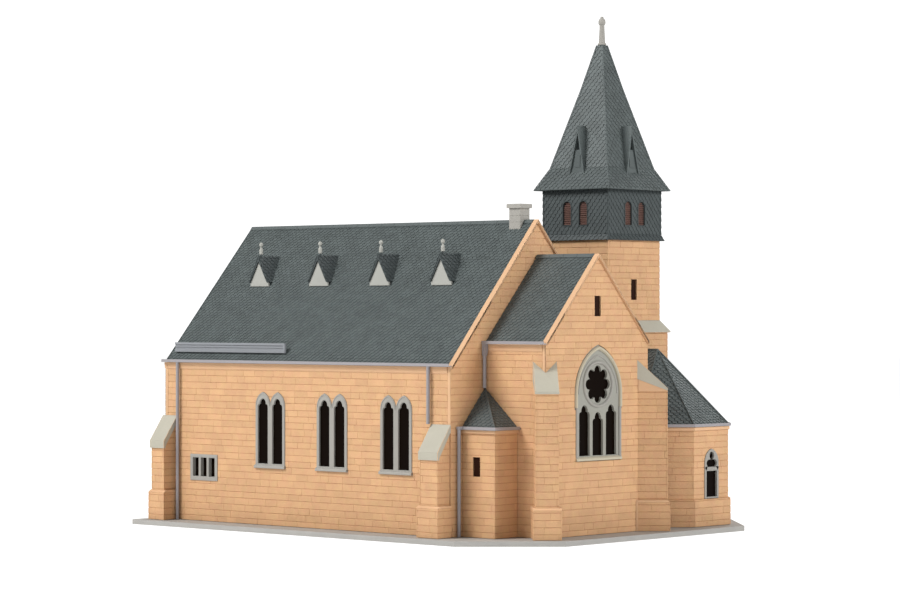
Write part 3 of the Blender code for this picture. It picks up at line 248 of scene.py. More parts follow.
def volume(solid):
    """Space inside a closed solid, in cubic millimetres."""
    mesh = build_mesh("measured", solid)
    bm = bmesh.new()
    bm.from_mesh(mesh)
    space = abs(bm.calc_volume())
    bm.free()
    bpy.data.meshes.remove(mesh)
    return space


class Face:
    """A flat face of the building: a point on it, and the directions across, up and out."""

    def __init__(self, origin, across, up, out):
        self.origin = Vector(origin)
        self.across = Vector(across).normalized()
        self.up = Vector(up).normalized()
        self.out = Vector(out).normalized()

    def at(self, a, b, h=0.0):
        return self.origin + self.across * a + self.up * b + self.out * h

    def prism(self, solid, outline, low, high, kind=0):
        solid.rings([[self.at(a, b, low) for a, b in outline],
                     [self.at(a, b, high) for a, b in outline]], kind)


def wall_face(x, y, out_x, out_y):
    """An upright face through (x, y); across runs to the right as seen from outside."""
    out = Vector((out_x, out_y, 0)).normalized()
    return Face((x, y, 0), (-out.y, out.x, 0), (0, 0, 1), out)


def clip(points, outline):
    """Part of a polygon inside a convex outline that runs counter-clockwise."""
    for k, (ax, ay) in enumerate(outline):
        bx, by = outline[(k + 1) % len(outline)]
        made = []
        for i, (px, py) in enumerate(points):
            qx, qy = points[(i + 1) % len(points)]
            side_p = (bx - ax) * (py - ay) - (by - ay) * (px - ax)
            side_q = (bx - ax) * (qy - ay) - (by - ay) * (qx - ax)
            if side_p >= 0:
                made.append((px, py))
            if (side_p > 0 > side_q) or (side_p < 0 < side_q):
                t = side_p / (side_p - side_q)
                made.append((px + t * (qx - px), py + t * (qy - py)))
        points = made
        if len(points) < 3:
            return []
    return tidy(points)


def tidy(points):
    """Drops points that lie on top of the one before."""
    made = []
    for p in points:
        if not made or math.hypot(p[0] - made[-1][0], p[1] - made[-1][1]) > 0.02:
            made.append(p)
    while len(made) > 1 and math.hypot(made[0][0] - made[-1][0], made[0][1] - made[-1][1]) <= 0.02:
        made.pop()
    return made


def area(points):
    total = 0.0
    for i, (ax, ay) in enumerate(points):
        bx, by = points[(i + 1) % len(points)]
        total += ax * by - bx * ay
    return total / 2


def rectangle(low_a, high_a, low_b, high_b):
    return [(low_a, low_b), (high_a, low_b), (high_a, high_b), (low_a, high_b)]


def arch_head(centre, half, spring, top, steps):
    """Points of a pointed head, from its right springing over the tip to the left."""
    rise = top - spring
    radius = (half * half + rise * rise) / (2 * half)
    reach = math.atan2(rise, radius - half) if radius > half else math.pi / 2
    right = []
    for k in range(steps + 1):
        turn = reach * k / steps
        right.append((half - radius + radius * math.cos(turn), radius * math.sin(turn)))
    left = [(-a, b) for a, b in reversed(right[:-1])]
    return [(centre + a, spring + b) for a, b in right + left]


def pointed(centre, half, foot, spring, top, steps=8):
    return [(centre - half, foot), (centre + half, foot)] + arch_head(centre, half, spring, top, steps)


def circle(centre_a, centre_b, radius, sides):
    turns = [2 * math.pi * (k + 0.5) / sides for k in range(sides)]
    return [(centre_a + radius * math.cos(t), centre_b + radius * math.sin(t)) for t in turns]


def shrink(points):
    """A block's outline drawn in at its edges, more at top and foot than at the sides."""
    low_a, high_a, low_b, high_b = box_of(points, 0.0)
    a, b = (low_a + high_a) / 2, (low_b + high_b) / 2
    across = max(0.5, 1 - 2 * ARRIS_SIDE / (high_a - low_a))
    tall = max(0.5, 1 - 2 * ARRIS / (high_b - low_b))
    return [(a + (p - a) * across, b + (q - b) * tall) for p, q in points]


def inset(points, by, grow=False):
    """A convex polygon with every side moved inwards, or outwards by a negative amount."""
    count = len(points)
    made = []
    for i in range(count):
        (px, py), (qx, qy), (rx, ry) = points[i - 1], points[i], points[(i + 1) % count]
        before, after = math.hypot(qx - px, qy - py), math.hypot(rx - qx, ry - qy)
        one = ((py - qy) / before, (qx - px) / before)
        two = ((qy - ry) / after, (rx - qx) / after)
        dot = 1 + one[0] * two[0] + one[1] * two[1]
        if dot < 0.05:
            return None
        made.append((qx + by * (one[0] + two[0]) / dot, qy + by * (one[1] + two[1]) / dot))
    if area(made) <= 0.02 or (area(made) > area(points) and not grow):
        return None
    return made


# Materials

NOISE_RANGE = (0.3, 0.7)
PALE_EDGE_RANGE = (0.52, 0.60)
PATCH_SCALE = 1000.0 / 9.0
SPECK_SCALE = 1400.0
DRIFT_SCALE = 260.0


def new_material(name):
    material = bpy.data.materials.new(name)
    material.use_nodes = True
    return material, material.node_tree.nodes["Principled BSDF"]


def add_noise(tree, scale, detail):
    """Noise through the object's own space, with a scale per metre."""
    item = tree.nodes.new("ShaderNodeTexNoise")
    item.inputs["Scale"].default_value = scale
    item.inputs["Detail"].default_value = detail
    place = tree.nodes.new("ShaderNodeTexCoord")
    tree.links.new(place.outputs["Object"], item.inputs["Vector"])
    return item.outputs["Fac"]


def add_range(tree, value, low, high, source=(0.0, 1.0)):
    """A value moved from its source range to one from low to high."""
    item = tree.nodes.new("ShaderNodeMapRange")
    item.inputs["From Min"].default_value = source[0]
    item.inputs["From Max"].default_value = source[1]
    item.inputs["To Min"].default_value = low
    item.inputs["To Max"].default_value = high
    tree.links.new(value, item.inputs["Value"])
    return item.outputs["Result"]


def add_sum(tree, first, second):
    item = tree.nodes.new("ShaderNodeMath")
    item.operation = "ADD"
    tree.links.new(first, item.inputs[0])
    tree.links.new(second, item.inputs[1])
    return item.outputs["Value"]


def add_pale_edges(tree, base, colour, strength):
    """A base colour that turns paler where the surface is pointed."""
    shape = tree.nodes.new("ShaderNodeNewGeometry")
    pale = tree.nodes.new("ShaderNodeMix")
    pale.data_type = "RGBA"
    edge_paleness = add_range(tree, shape.outputs["Pointiness"], 0.0, strength, PALE_EDGE_RANGE)
    tree.links.new(edge_paleness, pale.inputs["Factor"])
    tree.links.new(base, pale.inputs["A"])
    pale.inputs["B"].default_value = (*[min(1.0, c * 1.5 + 0.03) for c in colour], 1.0)
    return pale.outputs["Result"]


def varied_colour(tree, colour, spread, specks):
    """A colour that varies in patches, in specks and from one moulded piece to the next."""
    patches = add_range(tree, add_noise(tree, PATCH_SCALE, 3.0), -spread, spread, NOISE_RANGE)
    fine = add_range(tree, specks, -spread * 0.5, spread * 0.5, NOISE_RANGE)
    shape = tree.nodes.new("ShaderNodeNewGeometry")
    each = add_range(tree, shape.outputs["Random Per Island"], 1.0 - spread, 1.0 + spread)
    drift = add_noise(tree, DRIFT_SCALE, 2.0)
    hue = add_range(tree, drift, 0.5 - spread * 0.10, 0.5 + spread * 0.10, NOISE_RANGE)
    tone = tree.nodes.new("ShaderNodeHueSaturation")
    tone.inputs["Color"].default_value = (*colour, 1.0)
    tree.links.new(add_sum(tree, add_sum(tree, patches, fine), each), tone.inputs["Value"])
    tree.links.new(hue, tone.inputs["Hue"])
    return tone.outputs["Color"]


def moulded(name, colour, spread, roughness, grain, bump, edge=0.0, sheen=0.35):
    """Matt moulded plastic of a varied colour, with a fine grain and perhaps paler edges."""
    material, shader = new_material(name)
    tree = material.node_tree
    specks = add_noise(tree, SPECK_SCALE, 2.0)
    tone = varied_colour(tree, colour, spread, specks)
    if edge:
        tone = add_pale_edges(tree, tone, colour, edge)
    tree.links.new(tone, shader.inputs["Base Color"])
    rough = add_range(tree, specks, roughness - 0.08, roughness + 0.08)
    tree.links.new(rough, shader.inputs["Roughness"])
    relief = tree.nodes.new("ShaderNodeBump")
    relief.inputs["Strength"].default_value = 1.0
    relief.inputs["Distance"].default_value = bump * MM
    tree.links.new(add_noise(tree, 1.0 / (grain * MM), 4.0), relief.inputs["Height"])
    tree.links.new(relief.outputs["Normal"], shader.inputs["Normal"])
    shader.inputs["Specular IOR Level"].default_value = sheen
    return material


STONE = moulded("sandstone", (0.572, 0.336, 0.175), 0.05, 0.62, 0.9, 0.16)
JOINT = moulded("sandstone_joint", (0.455, 0.245, 0.118), 0.05, 0.75, 0.9, 0.10)
# Smoother sandstone, a little paler than the blocks: painted highlight on the copings, tops and reveals
# that face the light
PLAIN_LIT = moulded("sandstone_plain_lit", (0.620, 0.380, 0.215), 0.03, 0.60, 1.2, 0.06)
SLATE = moulded("slate", (0.078, 0.093, 0.092), 0.12, 0.50, 0.8, 0.08, edge=0.12)
# Near black board under the slates: painted shade in the gaps between slates and in the dormers' recesses
SLATE_BED_SHADE = moulded("slate_bed_painted_shade", (0.022, 0.027, 0.028), 0.06, 0.60, 0.8, 0.05)
SLATE_SMOOTH = moulded("slate_plain", (0.078, 0.093, 0.092), 0.05, 0.46, 1.0, 0.04, edge=0.12)
# A darker copy of the slate: painted shade for the belfry, the dormers' slopes and the lucarnes' set back
# gables
SLATE_SHADED = moulded("slate_painted_shade", (0.046, 0.057, 0.058), 0.10, 0.50, 0.8, 0.08, edge=0.12)
TRIM = moulded("pale_stone", (0.370, 0.350, 0.285), 0.035, 0.60, 0.9, 0.06, edge=0.15)
FRAME = moulded("window_grey", (0.295, 0.283, 0.256), 0.03, 0.55, 0.9, 0.05, edge=0.15)
FIELD = moulded("tracery_grey", (0.292, 0.288, 0.252), 0.03, 0.55, 0.9, 0.05, edge=0.15)
CREAM = moulded("hood_cream", (0.420, 0.380, 0.285), 0.03, 0.58, 0.9, 0.05, edge=0.15)
ZINC = moulded("zinc_grey", (0.275, 0.260, 0.270), 0.03, 0.45, 1.4, 0.03, edge=0.12)
RAIL = moulded("rail_grey", (0.215, 0.225, 0.240), 0.03, 0.45, 1.4, 0.03, edge=0.15)
LOUVRE = moulded("louvre_brown", (0.115, 0.058, 0.045), 0.06, 0.50, 0.8, 0.04, edge=0.15)
WHITE = moulded("pale_front", (0.340, 0.340, 0.310), 0.03, 0.55, 1.2, 0.03, edge=0.1)
PLATE = moulded("plate_grey", (0.330, 0.320, 0.300), 0.05, 0.65, 0.7, 0.18, edge=0.1)

# Near black brown sheet behind the windows: painted shade of the unlit inside
SHADE_PANE = moulded("pane_painted_shade", (0.0040, 0.0018, 0.0008), 0.05, 0.34, 4.0, 0.02, sheen=0.03)
# Near black brown plugs in the slits: painted shade of the openings
SLIT_SHADE = moulded("slit_painted_shade", (0.0180, 0.0050, 0.0020), 0.05, 0.60, 0.9, 0.04, sheen=0.08)


# Stonework

JOINTS, BLOCKS, PLAIN_STONE = 0, 1, 2


def course_levels():
    rng = random.Random(SEED)
    levels = [FOOT - 0.9]
    while levels[-1] < COURSES_TOP:
        levels.append(levels[-1] + COURSE + rng.uniform(-COURSE_SPREAD, COURSE_SPREAD))
    return levels


COURSES = course_levels()


def skip_none(outline):
    """The choice that leaves out none of a face's blocks or slates."""
    return False


def lay_blocks(face, region, seed, skip=skip_none):
    """Dressed blocks over a convex region of a face, in the building's courses."""
    rng = random.Random(seed)
    solid = Solid()
    low_a, high_a = min(a for a, _ in region), max(a for a, _ in region)
    for low_b, high_b in zip(COURSES, COURSES[1:]):
        a = low_a - rng.uniform(0.0, BLOCK_LONG)
        while a < high_a:
            long = rng.uniform(BLOCK_SHORT, BLOCK_LONG)
            sink = rng.uniform(0.0, BLOCK_SINK)
            tilts = [rng.uniform(0.0, BLOCK_TILT) for _ in range(8)]
            whole = rectangle(a + JOINT_WIDE / 2, a + long - JOINT_WIDE / 2,
                              low_b + JOINT_TALL / 2, high_b - JOINT_TALL / 2)
            a += long
            outline = clip(whole, region)
            if not outline or area(outline) < LEAST_BLOCK or skip(outline):
                continue
            back = [face.at(p, q, -BLOCK_BED) for p, q in outline]
            edge = [face.at(p, q, -ARRIS - sink) for p, q in outline]
            front = [face.at(p, q, -sink - tilts[i % 8]) for i, (p, q) in enumerate(shrink(outline))]
            solid.rings([back, edge, front])
    return solid


def box_of(outline, by=0.3):
    """Limits across and up of an outline, with a margin."""
    points_a = [a for a, _ in outline]
    points_b = [b for _, b in outline]
    return (min(points_a) - by, max(points_a) + by, min(points_b) - by, max(points_b) + by)


def near_any(outline, boxes):
    """Whether an outline reaches into any of the boxes."""
    low_a, high_a, low_b, high_b = box_of(outline, 0.0)
    return any(high_a > box[0] and low_a < box[1] and high_b > box[2] and low_b < box[3] for box in boxes)


def stone_face(face, region, seed, openings=(), skip=skip_none):
    """Blocks of one face, cut round its openings."""
    if not openings:
        return lay_blocks(face, region, seed, skip)
    boxes = [box_of(opening) for opening in openings]
    plain = lay_blocks(face, region, seed, lambda o: near_any(o, boxes) or skip(o))
    cut = lay_blocks(face, region, seed, lambda o: not near_any(o, boxes) or skip(o))
    tool = Solid()
    for opening in openings:
        face.prism(tool, opening, -2.0 * WALL, WALL)
    plain.merge(carve(cut, tool))
    return plain


class Stonework:
    """One CAD node's walls: a recessed core in the joint colour, with blocks over it."""

    def __init__(self, node):
        self.node = node
        self.core = node_solid(node)
        self.recesses = []
        self.blocks = Solid()
        self.copings = Solid()

    def face(self, face, region, seed, openings=(), skip=skip_none):
        """Recesses one face of the core and lays blocks on it; a cut that took too much is made anew."""
        extra = RECESS_STEP * (len(self.recesses) + 1)
        bed = -JOINT_DEEP - extra
        self.recesses.append((face, bed, box_of(region)))
        recess = Solid()
        face.prism(recess, inset(region, -extra, grow=True), bed, WALL)
        for tangled in (False, True):
            made = carve(self.core, recess, tangled)
            if volume(self.core) - volume(made) < abs(area(region)) * 2 * JOINT_DEEP + 1.0:
                self.core = made
                break
        self.blocks.merge(stone_face(face, region, seed, openings, skip))

    def in_recess(self, points):
        """Whether a face of the core is part of the bed that the blocks lie on."""
        middle = sum(points, Vector()) / len(points)
        for face, bed, box in self.recesses:
            flat = all(abs((p - face.origin).dot(face.out) - bed) < 0.012 for p in points)
            a, b = (middle - face.origin).dot(face.across), (middle - face.origin).dot(face.up)
            if flat and box[0] < a < box[1] and box[2] < b < box[3]:
                return True
        return False

    def finish(self):
        for i, corners in enumerate(self.core.faces):
            in_bed = self.in_recess([self.core.points[k] for k in corners])
            self.core.kinds[i] = JOINTS if in_bed else PLAIN_STONE
        self.core.merge(self.blocks, BLOCKS)
        # Core faces outside the beds and the copings take the paler plain stone, a painted highlight
        self.core.merge(self.copings, PLAIN_STONE)
        add_piece(self.node + "_stone", self.core, (JOINT, STONE, PLAIN_LIT), (self.node,))


def gable_region(half, top, pitch):
    """Pentagon up to the two slopes below a gable's coping or roof."""
    eaves = top - pitch * half
    return [(-half, FOOT), (half, FOOT), (half, eaves), (0.0, top), (-half, eaves)]


def add_copings(solid, face, half, ridge, pitch, seed):
    """Raised coping stones up both slopes of a gable, with fine joints."""
    rng = random.Random(seed)
    slope = math.hypot(1.0, pitch)
    depths = ((-WALL - 0.05, 0.15), (-WALL + 0.10, 0.0), (COPING_PROUD - 0.15, 0.0), (COPING_PROUD, 0.15))
    for side in (-1, 1):
        reach = 0.0
        while reach < half:
            end = min(reach + rng.uniform(COPING_SHORT, COPING_LONG) / slope, half)
            if half - end < COPING_LEAST:
                end = half
            start = reach if reach == 0.0 else reach + 0.05
            stop = end + 0.05 if end == half else end - COPING_JOINT
            ends = [(side * distance, ridge + 0.05 - pitch * distance) for distance in (start, stop)]
            rings = []
            for depth, drop in depths:
                low = [face.at(a, top - COPING_FACE - 0.12 + drop * 0.5, depth) for a, top in ends]
                high = [face.at(a, top - drop, depth) for a, top in reversed(ends)]
                rings.append(low + high)
            solid.rings(rings)
            reach = end


# Outlines of the windows

WINDOW_X = (-125.6, -81.1, -36.6)
WINDOW_HALF = 10.7
WINDOW_FOOT = 30.0
WINDOW_SPRING = 62.2
WINDOW_TOP = 69.2
VENT_X = -175.4
VENT_HALF = 10.3
VENT_FOOT = 21.8
VENT_TOP = 35.6
VENT_LIGHT_SPACING = 6.1
VENT_LIGHT_HALF = 2.2
VENT_LIGHT_FOOT = 24.0
VENT_LIGHT_TOP = 33.8
GREAT_CENTRE = 0.6
GREAT_HALF = 17.5
GREAT_HOOD_HALF = 18.25
GREAT_FOOT = 37.1
GREAT_STEP = 62.6
GREAT_SPRING = 70.2
GREAT_TOP = 94.3
GREAT_SILL_TOP = 39.2
GREAT_LIGHT_SPACING = 10.3
GREAT_LIGHT_HALF = 4.0
GREAT_LIGHT_FOOT = 39.7
GREAT_LIGHT_TOP = 64.6
GREAT_MIDDLE_TOP = 61.1
GREAT_LIGHT_NECK = 3.3
GREAT_FIELD = -0.45
GREAT_PANE_HALF = 16.5
GREAT_PANE_FOOT = 38.5
GREAT_PANE_TOP = 86.0
WEST_LIFT = 11.0
SLIT_HALF = 2.35
SLIT_FOOT = 108.4
SLIT_TOP = 118.5
SLIT_GAP = 0.02
SLIT_FRONT = -0.8
WEST_SLIT_LIFT = 13.0
DOOR_HALF = 11.0
DOOR_SPRING = 23.0
DOOR_TOP = 37.0
DOOR_BOARDS = 8
CHAPEL_WINDOW_HALF = 5.8
CHAPEL_WINDOW_FOOT = 14.7
CHAPEL_WINDOW_SPRING = 33.0
CHAPEL_WINDOW_TOP = 40.2
CHAPEL_BAR_LOW = 28.8
CHAPEL_BAR_HIGH = 30.9
CHAPEL_BAR_HALF = 4.2
CHAPEL_LIGHT_HALF = 4.3
CHAPEL_LIGHT_FOOT = 15.6
TREFOIL_SIDE = 2.2
TREFOIL_LOW = 32.8
TREFOIL_HIGH = 36.7
FRAME_PROUD = 0.4


def twin_outline(centre, by=0.0):
    """Two pointed heads side by side over one square foot, with a sharp valley."""
    quarter = WINDOW_HALF / 2
    foot = WINDOW_FOOT - by
    points = [(centre - WINDOW_HALF - by, foot), (centre + WINDOW_HALF + by, foot)]
    half = quarter + by
    rise = WINDOW_TOP + by - WINDOW_SPRING
    radius = (half * half + rise * rise) / (2 * half)
    valley = WINDOW_SPRING + math.sqrt(max(0.0, 2 * radius * by - by * by))
    for side in (1, -1):
        head = arch_head(centre + side * quarter, half, WINDOW_SPRING, WINDOW_TOP + by, 8)
        points += [p for p in head if side * (p[0] - centre) > 0.01 and p[1] > WINDOW_SPRING - 0.01]
        if side > 0:
            points.append((centre, valley))
    return points


def great_outline(centre, lift, by=0.0):
    """A tall pointed window whose hooded upper part is a little wider."""
    foot, step = GREAT_FOOT + lift - by, GREAT_STEP + lift - by
    head = arch_head(centre, GREAT_HOOD_HALF + by, GREAT_SPRING + lift, GREAT_TOP + lift + by, 12)
    points = [(centre - GREAT_HALF - by, foot), (centre + GREAT_HALF + by, foot)]
    points += [(centre + GREAT_HALF + by, step), (centre + GREAT_HOOD_HALF + by, step)]
    points += head
    points += [(centre - GREAT_HOOD_HALF - by, step), (centre - GREAT_HALF - by, step)]
    return points


def slit_outline(centre, foot, top, by=0.0):
    return rectangle(centre - SLIT_HALF - by, centre + SLIT_HALF + by, foot - by, top + by)


# Walls

SOUTH = wall_face(0.0, -NAVE_HALF, 0, -1)
NORTH = wall_face(0.0, NAVE_HALF, 0, 1)
EAST = wall_face(0.0, 0.0, 1, 0)
WEST = wall_face(NAVE_WEST, 0.0, -1, 0)
CHANCEL_FACE = wall_face(CHANCEL_EAST, 0.0, 1, 0)
LEDGE = 80.2
CHANCEL_LEDGE = LEDGE + 10.9
INNER = WALL + SEAM
UNDER_COPING = COPING_FACE + 0.1


def make_nave_walls():
    south = Stonework("nave_south_wall")
    holes = [twin_outline(x, 0.1) for x in WINDOW_X]
    holes.append(rectangle(VENT_X - VENT_HALF, VENT_X + VENT_HALF, VENT_FOOT, VENT_TOP))
    south.face(SOUTH, rectangle(NAVE_WEST + INNER, -INNER, FOOT, LEDGE), SEED + 1, holes)
    south.finish()
    north = Stonework("nave_north_wall")
    holes = [[(-a, b) for a, b in reversed(twin_outline(x, 0.1))] for x in WINDOW_X[:2]]
    holes.append(rectangle(-VENT_X - VENT_HALF, -VENT_X + VENT_HALF, VENT_FOOT, VENT_TOP))
    tower_west = -(TOWER_X - STAGE_HALF - 0.3)
    north.face(NORTH, rectangle(tower_west, -NAVE_WEST - INNER, FOOT, LEDGE), SEED + 2, holes)
    north.finish()


def inside_chancel(outline):
    top = CHANCEL_RIDGE - 6.0
    return all(abs(a) < CHANCEL_HALF - 3.0 and b < top - CHANCEL_PITCH * abs(a) for a, b in outline)


def make_nave_gables():
    east = Stonework("nave_east_gable")
    region = gable_region(NAVE_HALF, NAVE_RIDGE - UNDER_COPING, NAVE_PITCH)
    east.face(EAST, region, SEED + 3, skip=inside_chancel)
    add_copings(east.copings, EAST, NAVE_HALF, NAVE_RIDGE, NAVE_PITCH, SEED + 4)
    east.finish()
    west = Stonework("nave_west_gable")
    holes = [pointed(0.0, DOOR_HALF, -3.0, DOOR_SPRING, DOOR_TOP), great_outline(0.0, WEST_LIFT, 0.1),
             slit_outline(0.0, SLIT_FOOT + WEST_SLIT_LIFT, SLIT_TOP + WEST_SLIT_LIFT)]
    under_roof = NAVE_ROOF_TOP - ROOF_DROP - 0.3
    west.face(WEST, gable_region(NAVE_HALF, under_roof, NAVE_PITCH), SEED + 5, holes)
    west.finish()


def make_chancel_walls():
    gable = Stonework("chancel_gable")
    holes = [great_outline(GREAT_CENTRE, 0.0, 0.1), slit_outline(0.0, SLIT_FOOT, SLIT_TOP)]
    region = gable_region(CHANCEL_HALF, CHANCEL_RIDGE - UNDER_COPING, CHANCEL_PITCH)
    gable.face(CHANCEL_FACE, region, SEED + 7, holes)
    add_copings(gable.copings, CHANCEL_FACE, CHANCEL_HALF, CHANCEL_RIDGE, CHANCEL_PITCH, SEED + 8)
    gable.finish()
    inner_east = CHANCEL_EAST - INNER
    walls = (("south", -1, (SEAM, inner_east), 9), ("north", 1, (-inner_east, -SEAM), 10))
    for label, side, ends, seed in walls:
        wall = Stonework(f"chancel_{label}_wall")
        face = wall_face(0.0, side * CHANCEL_HALF, 0, side)
        wall.face(face, rectangle(*ends, FOOT, CHANCEL_LEDGE), SEED + seed)
        wall.finish()


TURRET_EAST = 21.5
TURRET_SOUTH = -56.5
TURRET_LEDGE = 51.2
TURRET_SLIT_X = 9.5
TURRET_SLIT_FOOT = 30.3
TURRET_SLIT_TOP = 39.8


def make_turret_walls():
    walls = Stonework("turret_walls")
    face = wall_face(0.0, TURRET_SOUTH, 0, -1)
    slit = slit_outline(TURRET_SLIT_X, TURRET_SLIT_FOOT, TURRET_SLIT_TOP)
    walls.face(face, rectangle(SEAM, TURRET_EAST, FOOT, TURRET_LEDGE), SEED + 11, [slit])
    face = wall_face(TURRET_EAST, 0.0, 1, 0)
    walls.face(face, rectangle(TURRET_SOUTH, -CHANCEL_HALF - SEAM, FOOT, TURRET_LEDGE), SEED + 12)
    walls.finish()


TOWER_SOUTH = TOWER_Y - TOWER_HALF
OFFSET_LOW = 99.4
OFFSET_TOP = 105.9
TOWER_TOP = 148.0
TOWER_ABOVE_ROOF = 84.5
TOWER_SLIT_FOOT = 116.8
TOWER_SLIT_TOP = 127.6


def hidden_by_chapel(outline):
    """Whether a block of the tower's east face is inside the chapel."""
    return all(a < CHAPEL_Y + 20.0 and b < 48.0 for a, b in outline)


def tower_slit(centre, by=0.0):
    return slit_outline(centre, TOWER_SLIT_FOOT, TOWER_SLIT_TOP, by)


def make_tower_walls():
    """Two stages on three sides; on the side of the nave the upper stage runs flush."""
    tower = Stonework("tower_shaft")
    stages = ((STAGE_HALF, FOOT, OFFSET_LOW, 13), (TOWER_HALF, OFFSET_TOP + 0.15, TOWER_TOP, 16))
    for half, low, high, seed in stages:
        west, east, north = TOWER_X - half, TOWER_X + half, TOWER_Y + half
        sides = ((wall_face(east, 0.0, 1, 0), TOWER_SOUTH, north, TOWER_Y),
                 (wall_face(west, 0.0, -1, 0), -north, -TOWER_SOUTH, -TOWER_Y),
                 (wall_face(0.0, north, 0, 1), -east, -west, -TOWER_X))
        for k, (face, start, end, middle) in enumerate(sides):
            holes = [tower_slit(middle)] if half == TOWER_HALF else []
            skip = hidden_by_chapel if k == 0 else skip_none
            tower.face(face, rectangle(start, end, low, high), SEED + seed + k, holes, skip)
    south = rectangle(TOWER_X - TOWER_HALF, TOWER_X + TOWER_HALF, TOWER_ABOVE_ROOF, TOWER_TOP)
    tower.face(wall_face(0.0, TOWER_SOUTH, 0, -1), south, SEED + 19, [tower_slit(TOWER_X)])
    tower.finish()


def make_tower_offset():
    """Pale weathering round three sides of the tower, between its two stages."""
    lip = STAGE_HALF + 1.05
    out = STAGE_HALF + 0.05
    inner = TOWER_HALF - 1.0
    south = TOWER_SOUTH - 0.02
    steps = ((inner, OFFSET_LOW + 0.10), (out, OFFSET_LOW + 0.10), (lip, OFFSET_LOW + 0.35),
             (lip, OFFSET_LOW + 0.80), (TOWER_HALF + 0.02, OFFSET_TOP + 0.12), (inner, OFFSET_TOP + 0.12))
    points = []
    for reach, z in steps:
        west, east, north = TOWER_X - reach, TOWER_X + reach, TOWER_Y + reach
        points += [(west, south, z), (west, north, z), (east, north, z), (east, south, z)]
    count = len(steps)
    faces = []
    for k in range(count):
        n = (k + 1) % count
        faces += [(4 * k + i, 4 * k + i + 1, 4 * n + i + 1, 4 * n + i) for i in range(3)]
    faces += [tuple(4 * k + end for k in range(count)) for end in (0, 3)]
    solid = Solid()
    solid.add(points, faces)
    add_piece("tower_offset", solid, (TRIM,))


def octagon_corners(half):
    side = half * math.tan(math.pi / 8)
    x, y = CHAPEL_X, CHAPEL_Y
    return [(x + side, y - half), (x + half, y - side), (x + half, y + side), (x + side, y + half)]


CHAPEL_PLINTH_TOP = 14.5
CHAPEL_LEDGE = 49.7
CHAPEL_WEST = TOWER_X + STAGE_HALF + 0.3
PLINTH_OUT = 1.2


def chapel_window_hole(centre, by=0.1):
    return pointed(centre, CHAPEL_WINDOW_HALF + by, CHAPEL_WINDOW_FOOT - by, CHAPEL_WINDOW_SPRING,
                   CHAPEL_WINDOW_TOP + by)


def make_chapel_walls():
    walls = Stonework("chapel_walls")
    for low, high, half, seed in ((CHAPEL_PLINTH_TOP, CHAPEL_LEDGE, CHAPEL_HALF, 20),
                                  (FOOT, CHAPEL_PLINTH_TOP, CHAPEL_HALF + PLINTH_OUT, 30)):
        corners = [(SEAM, CHAPEL_Y - half)] + octagon_corners(half) + [(CHAPEL_WEST, CHAPEL_Y + half)]
        for k, (start, end) in enumerate(zip(corners, corners[1:])):
            along = Vector((end[0] - start[0], end[1] - start[1], 0))
            face = wall_face(start[0], start[1], along.y, -along.x)
            has_window = k == 2 and half == CHAPEL_HALF
            holes = [chapel_window_hole(along.length / 2)] if has_window else []
            walls.face(face, rectangle(0.0, along.length, low, high), SEED + seed + k, holes)
    face = wall_face(CHAPEL_WEST, 0.0, -1, 0)
    region = rectangle(-CHAPEL_Y - CHAPEL_HALF, -TOWER_Y - STAGE_HALF, FOOT, CHAPEL_LEDGE)
    walls.face(face, region, SEED + 28)
    walls.finish()


# Buttresses

BUTTRESS_OUT = 9.0
BUTTRESS_EAST_X = -6.5
BUTTRESS_EAST_WIDE = 11.8
BUTTRESS_WEST_X = -201.7
BUTTRESS_WEST_WIDE = 9.8
BUTTRESS_CAP_TOP = 55.5
BUTTRESS_CAP_LOW = 42.3
BUTTRESS_CAP_FOOT = 38.5
BUTTRESS_CAP_EDGE = 2.6
PLINTH_TOP = 15.0
PLINTH_SLOPE = 1.2


def make_nave_buttress(node, centre_x, wide, side, seed):
    work = Stonework(node)
    half, front = wide / 2, NAVE_HALF + BUTTRESS_OUT
    foot_half, foot_front = half + PLINTH_OUT, front + PLINTH_OUT
    low, high = PLINTH_TOP + PLINTH_SLOPE, BUTTRESS_CAP_TOP - BUTTRESS_CAP_EDGE - 1.4
    wall = NAVE_HALF + SEAM
    centre = centre_x * -side
    face = wall_face(0.0, side * front, 0, side)
    work.face(face, rectangle(centre - half, centre + half, low, BUTTRESS_CAP_FOOT), seed)
    face = wall_face(0.0, side * foot_front, 0, side)
    work.face(face, rectangle(centre - foot_half, centre + foot_half, FOOT, PLINTH_TOP), seed + 1)
    for turn in (-1, 1):
        face = wall_face(centre_x + turn * half, 0.0, turn, 0)
        start, end = sorted((turn * side * wall, turn * side * front))
        tops = (high, BUTTRESS_CAP_FOOT) if turn * side > 0 else (BUTTRESS_CAP_FOOT, high)
        work.face(face, [(start, low), (end, low), (end, tops[1]), (start, tops[0])], seed + 3 + turn)
        face = wall_face(centre_x + turn * foot_half, 0.0, turn, 0)
        start, end = sorted((turn * side * wall, turn * side * foot_front))
        work.face(face, rectangle(start, end, FOOT, PLINTH_TOP), seed + 6 + turn)
    work.finish()
    add_nave_cap(node, centre_x, half, side)


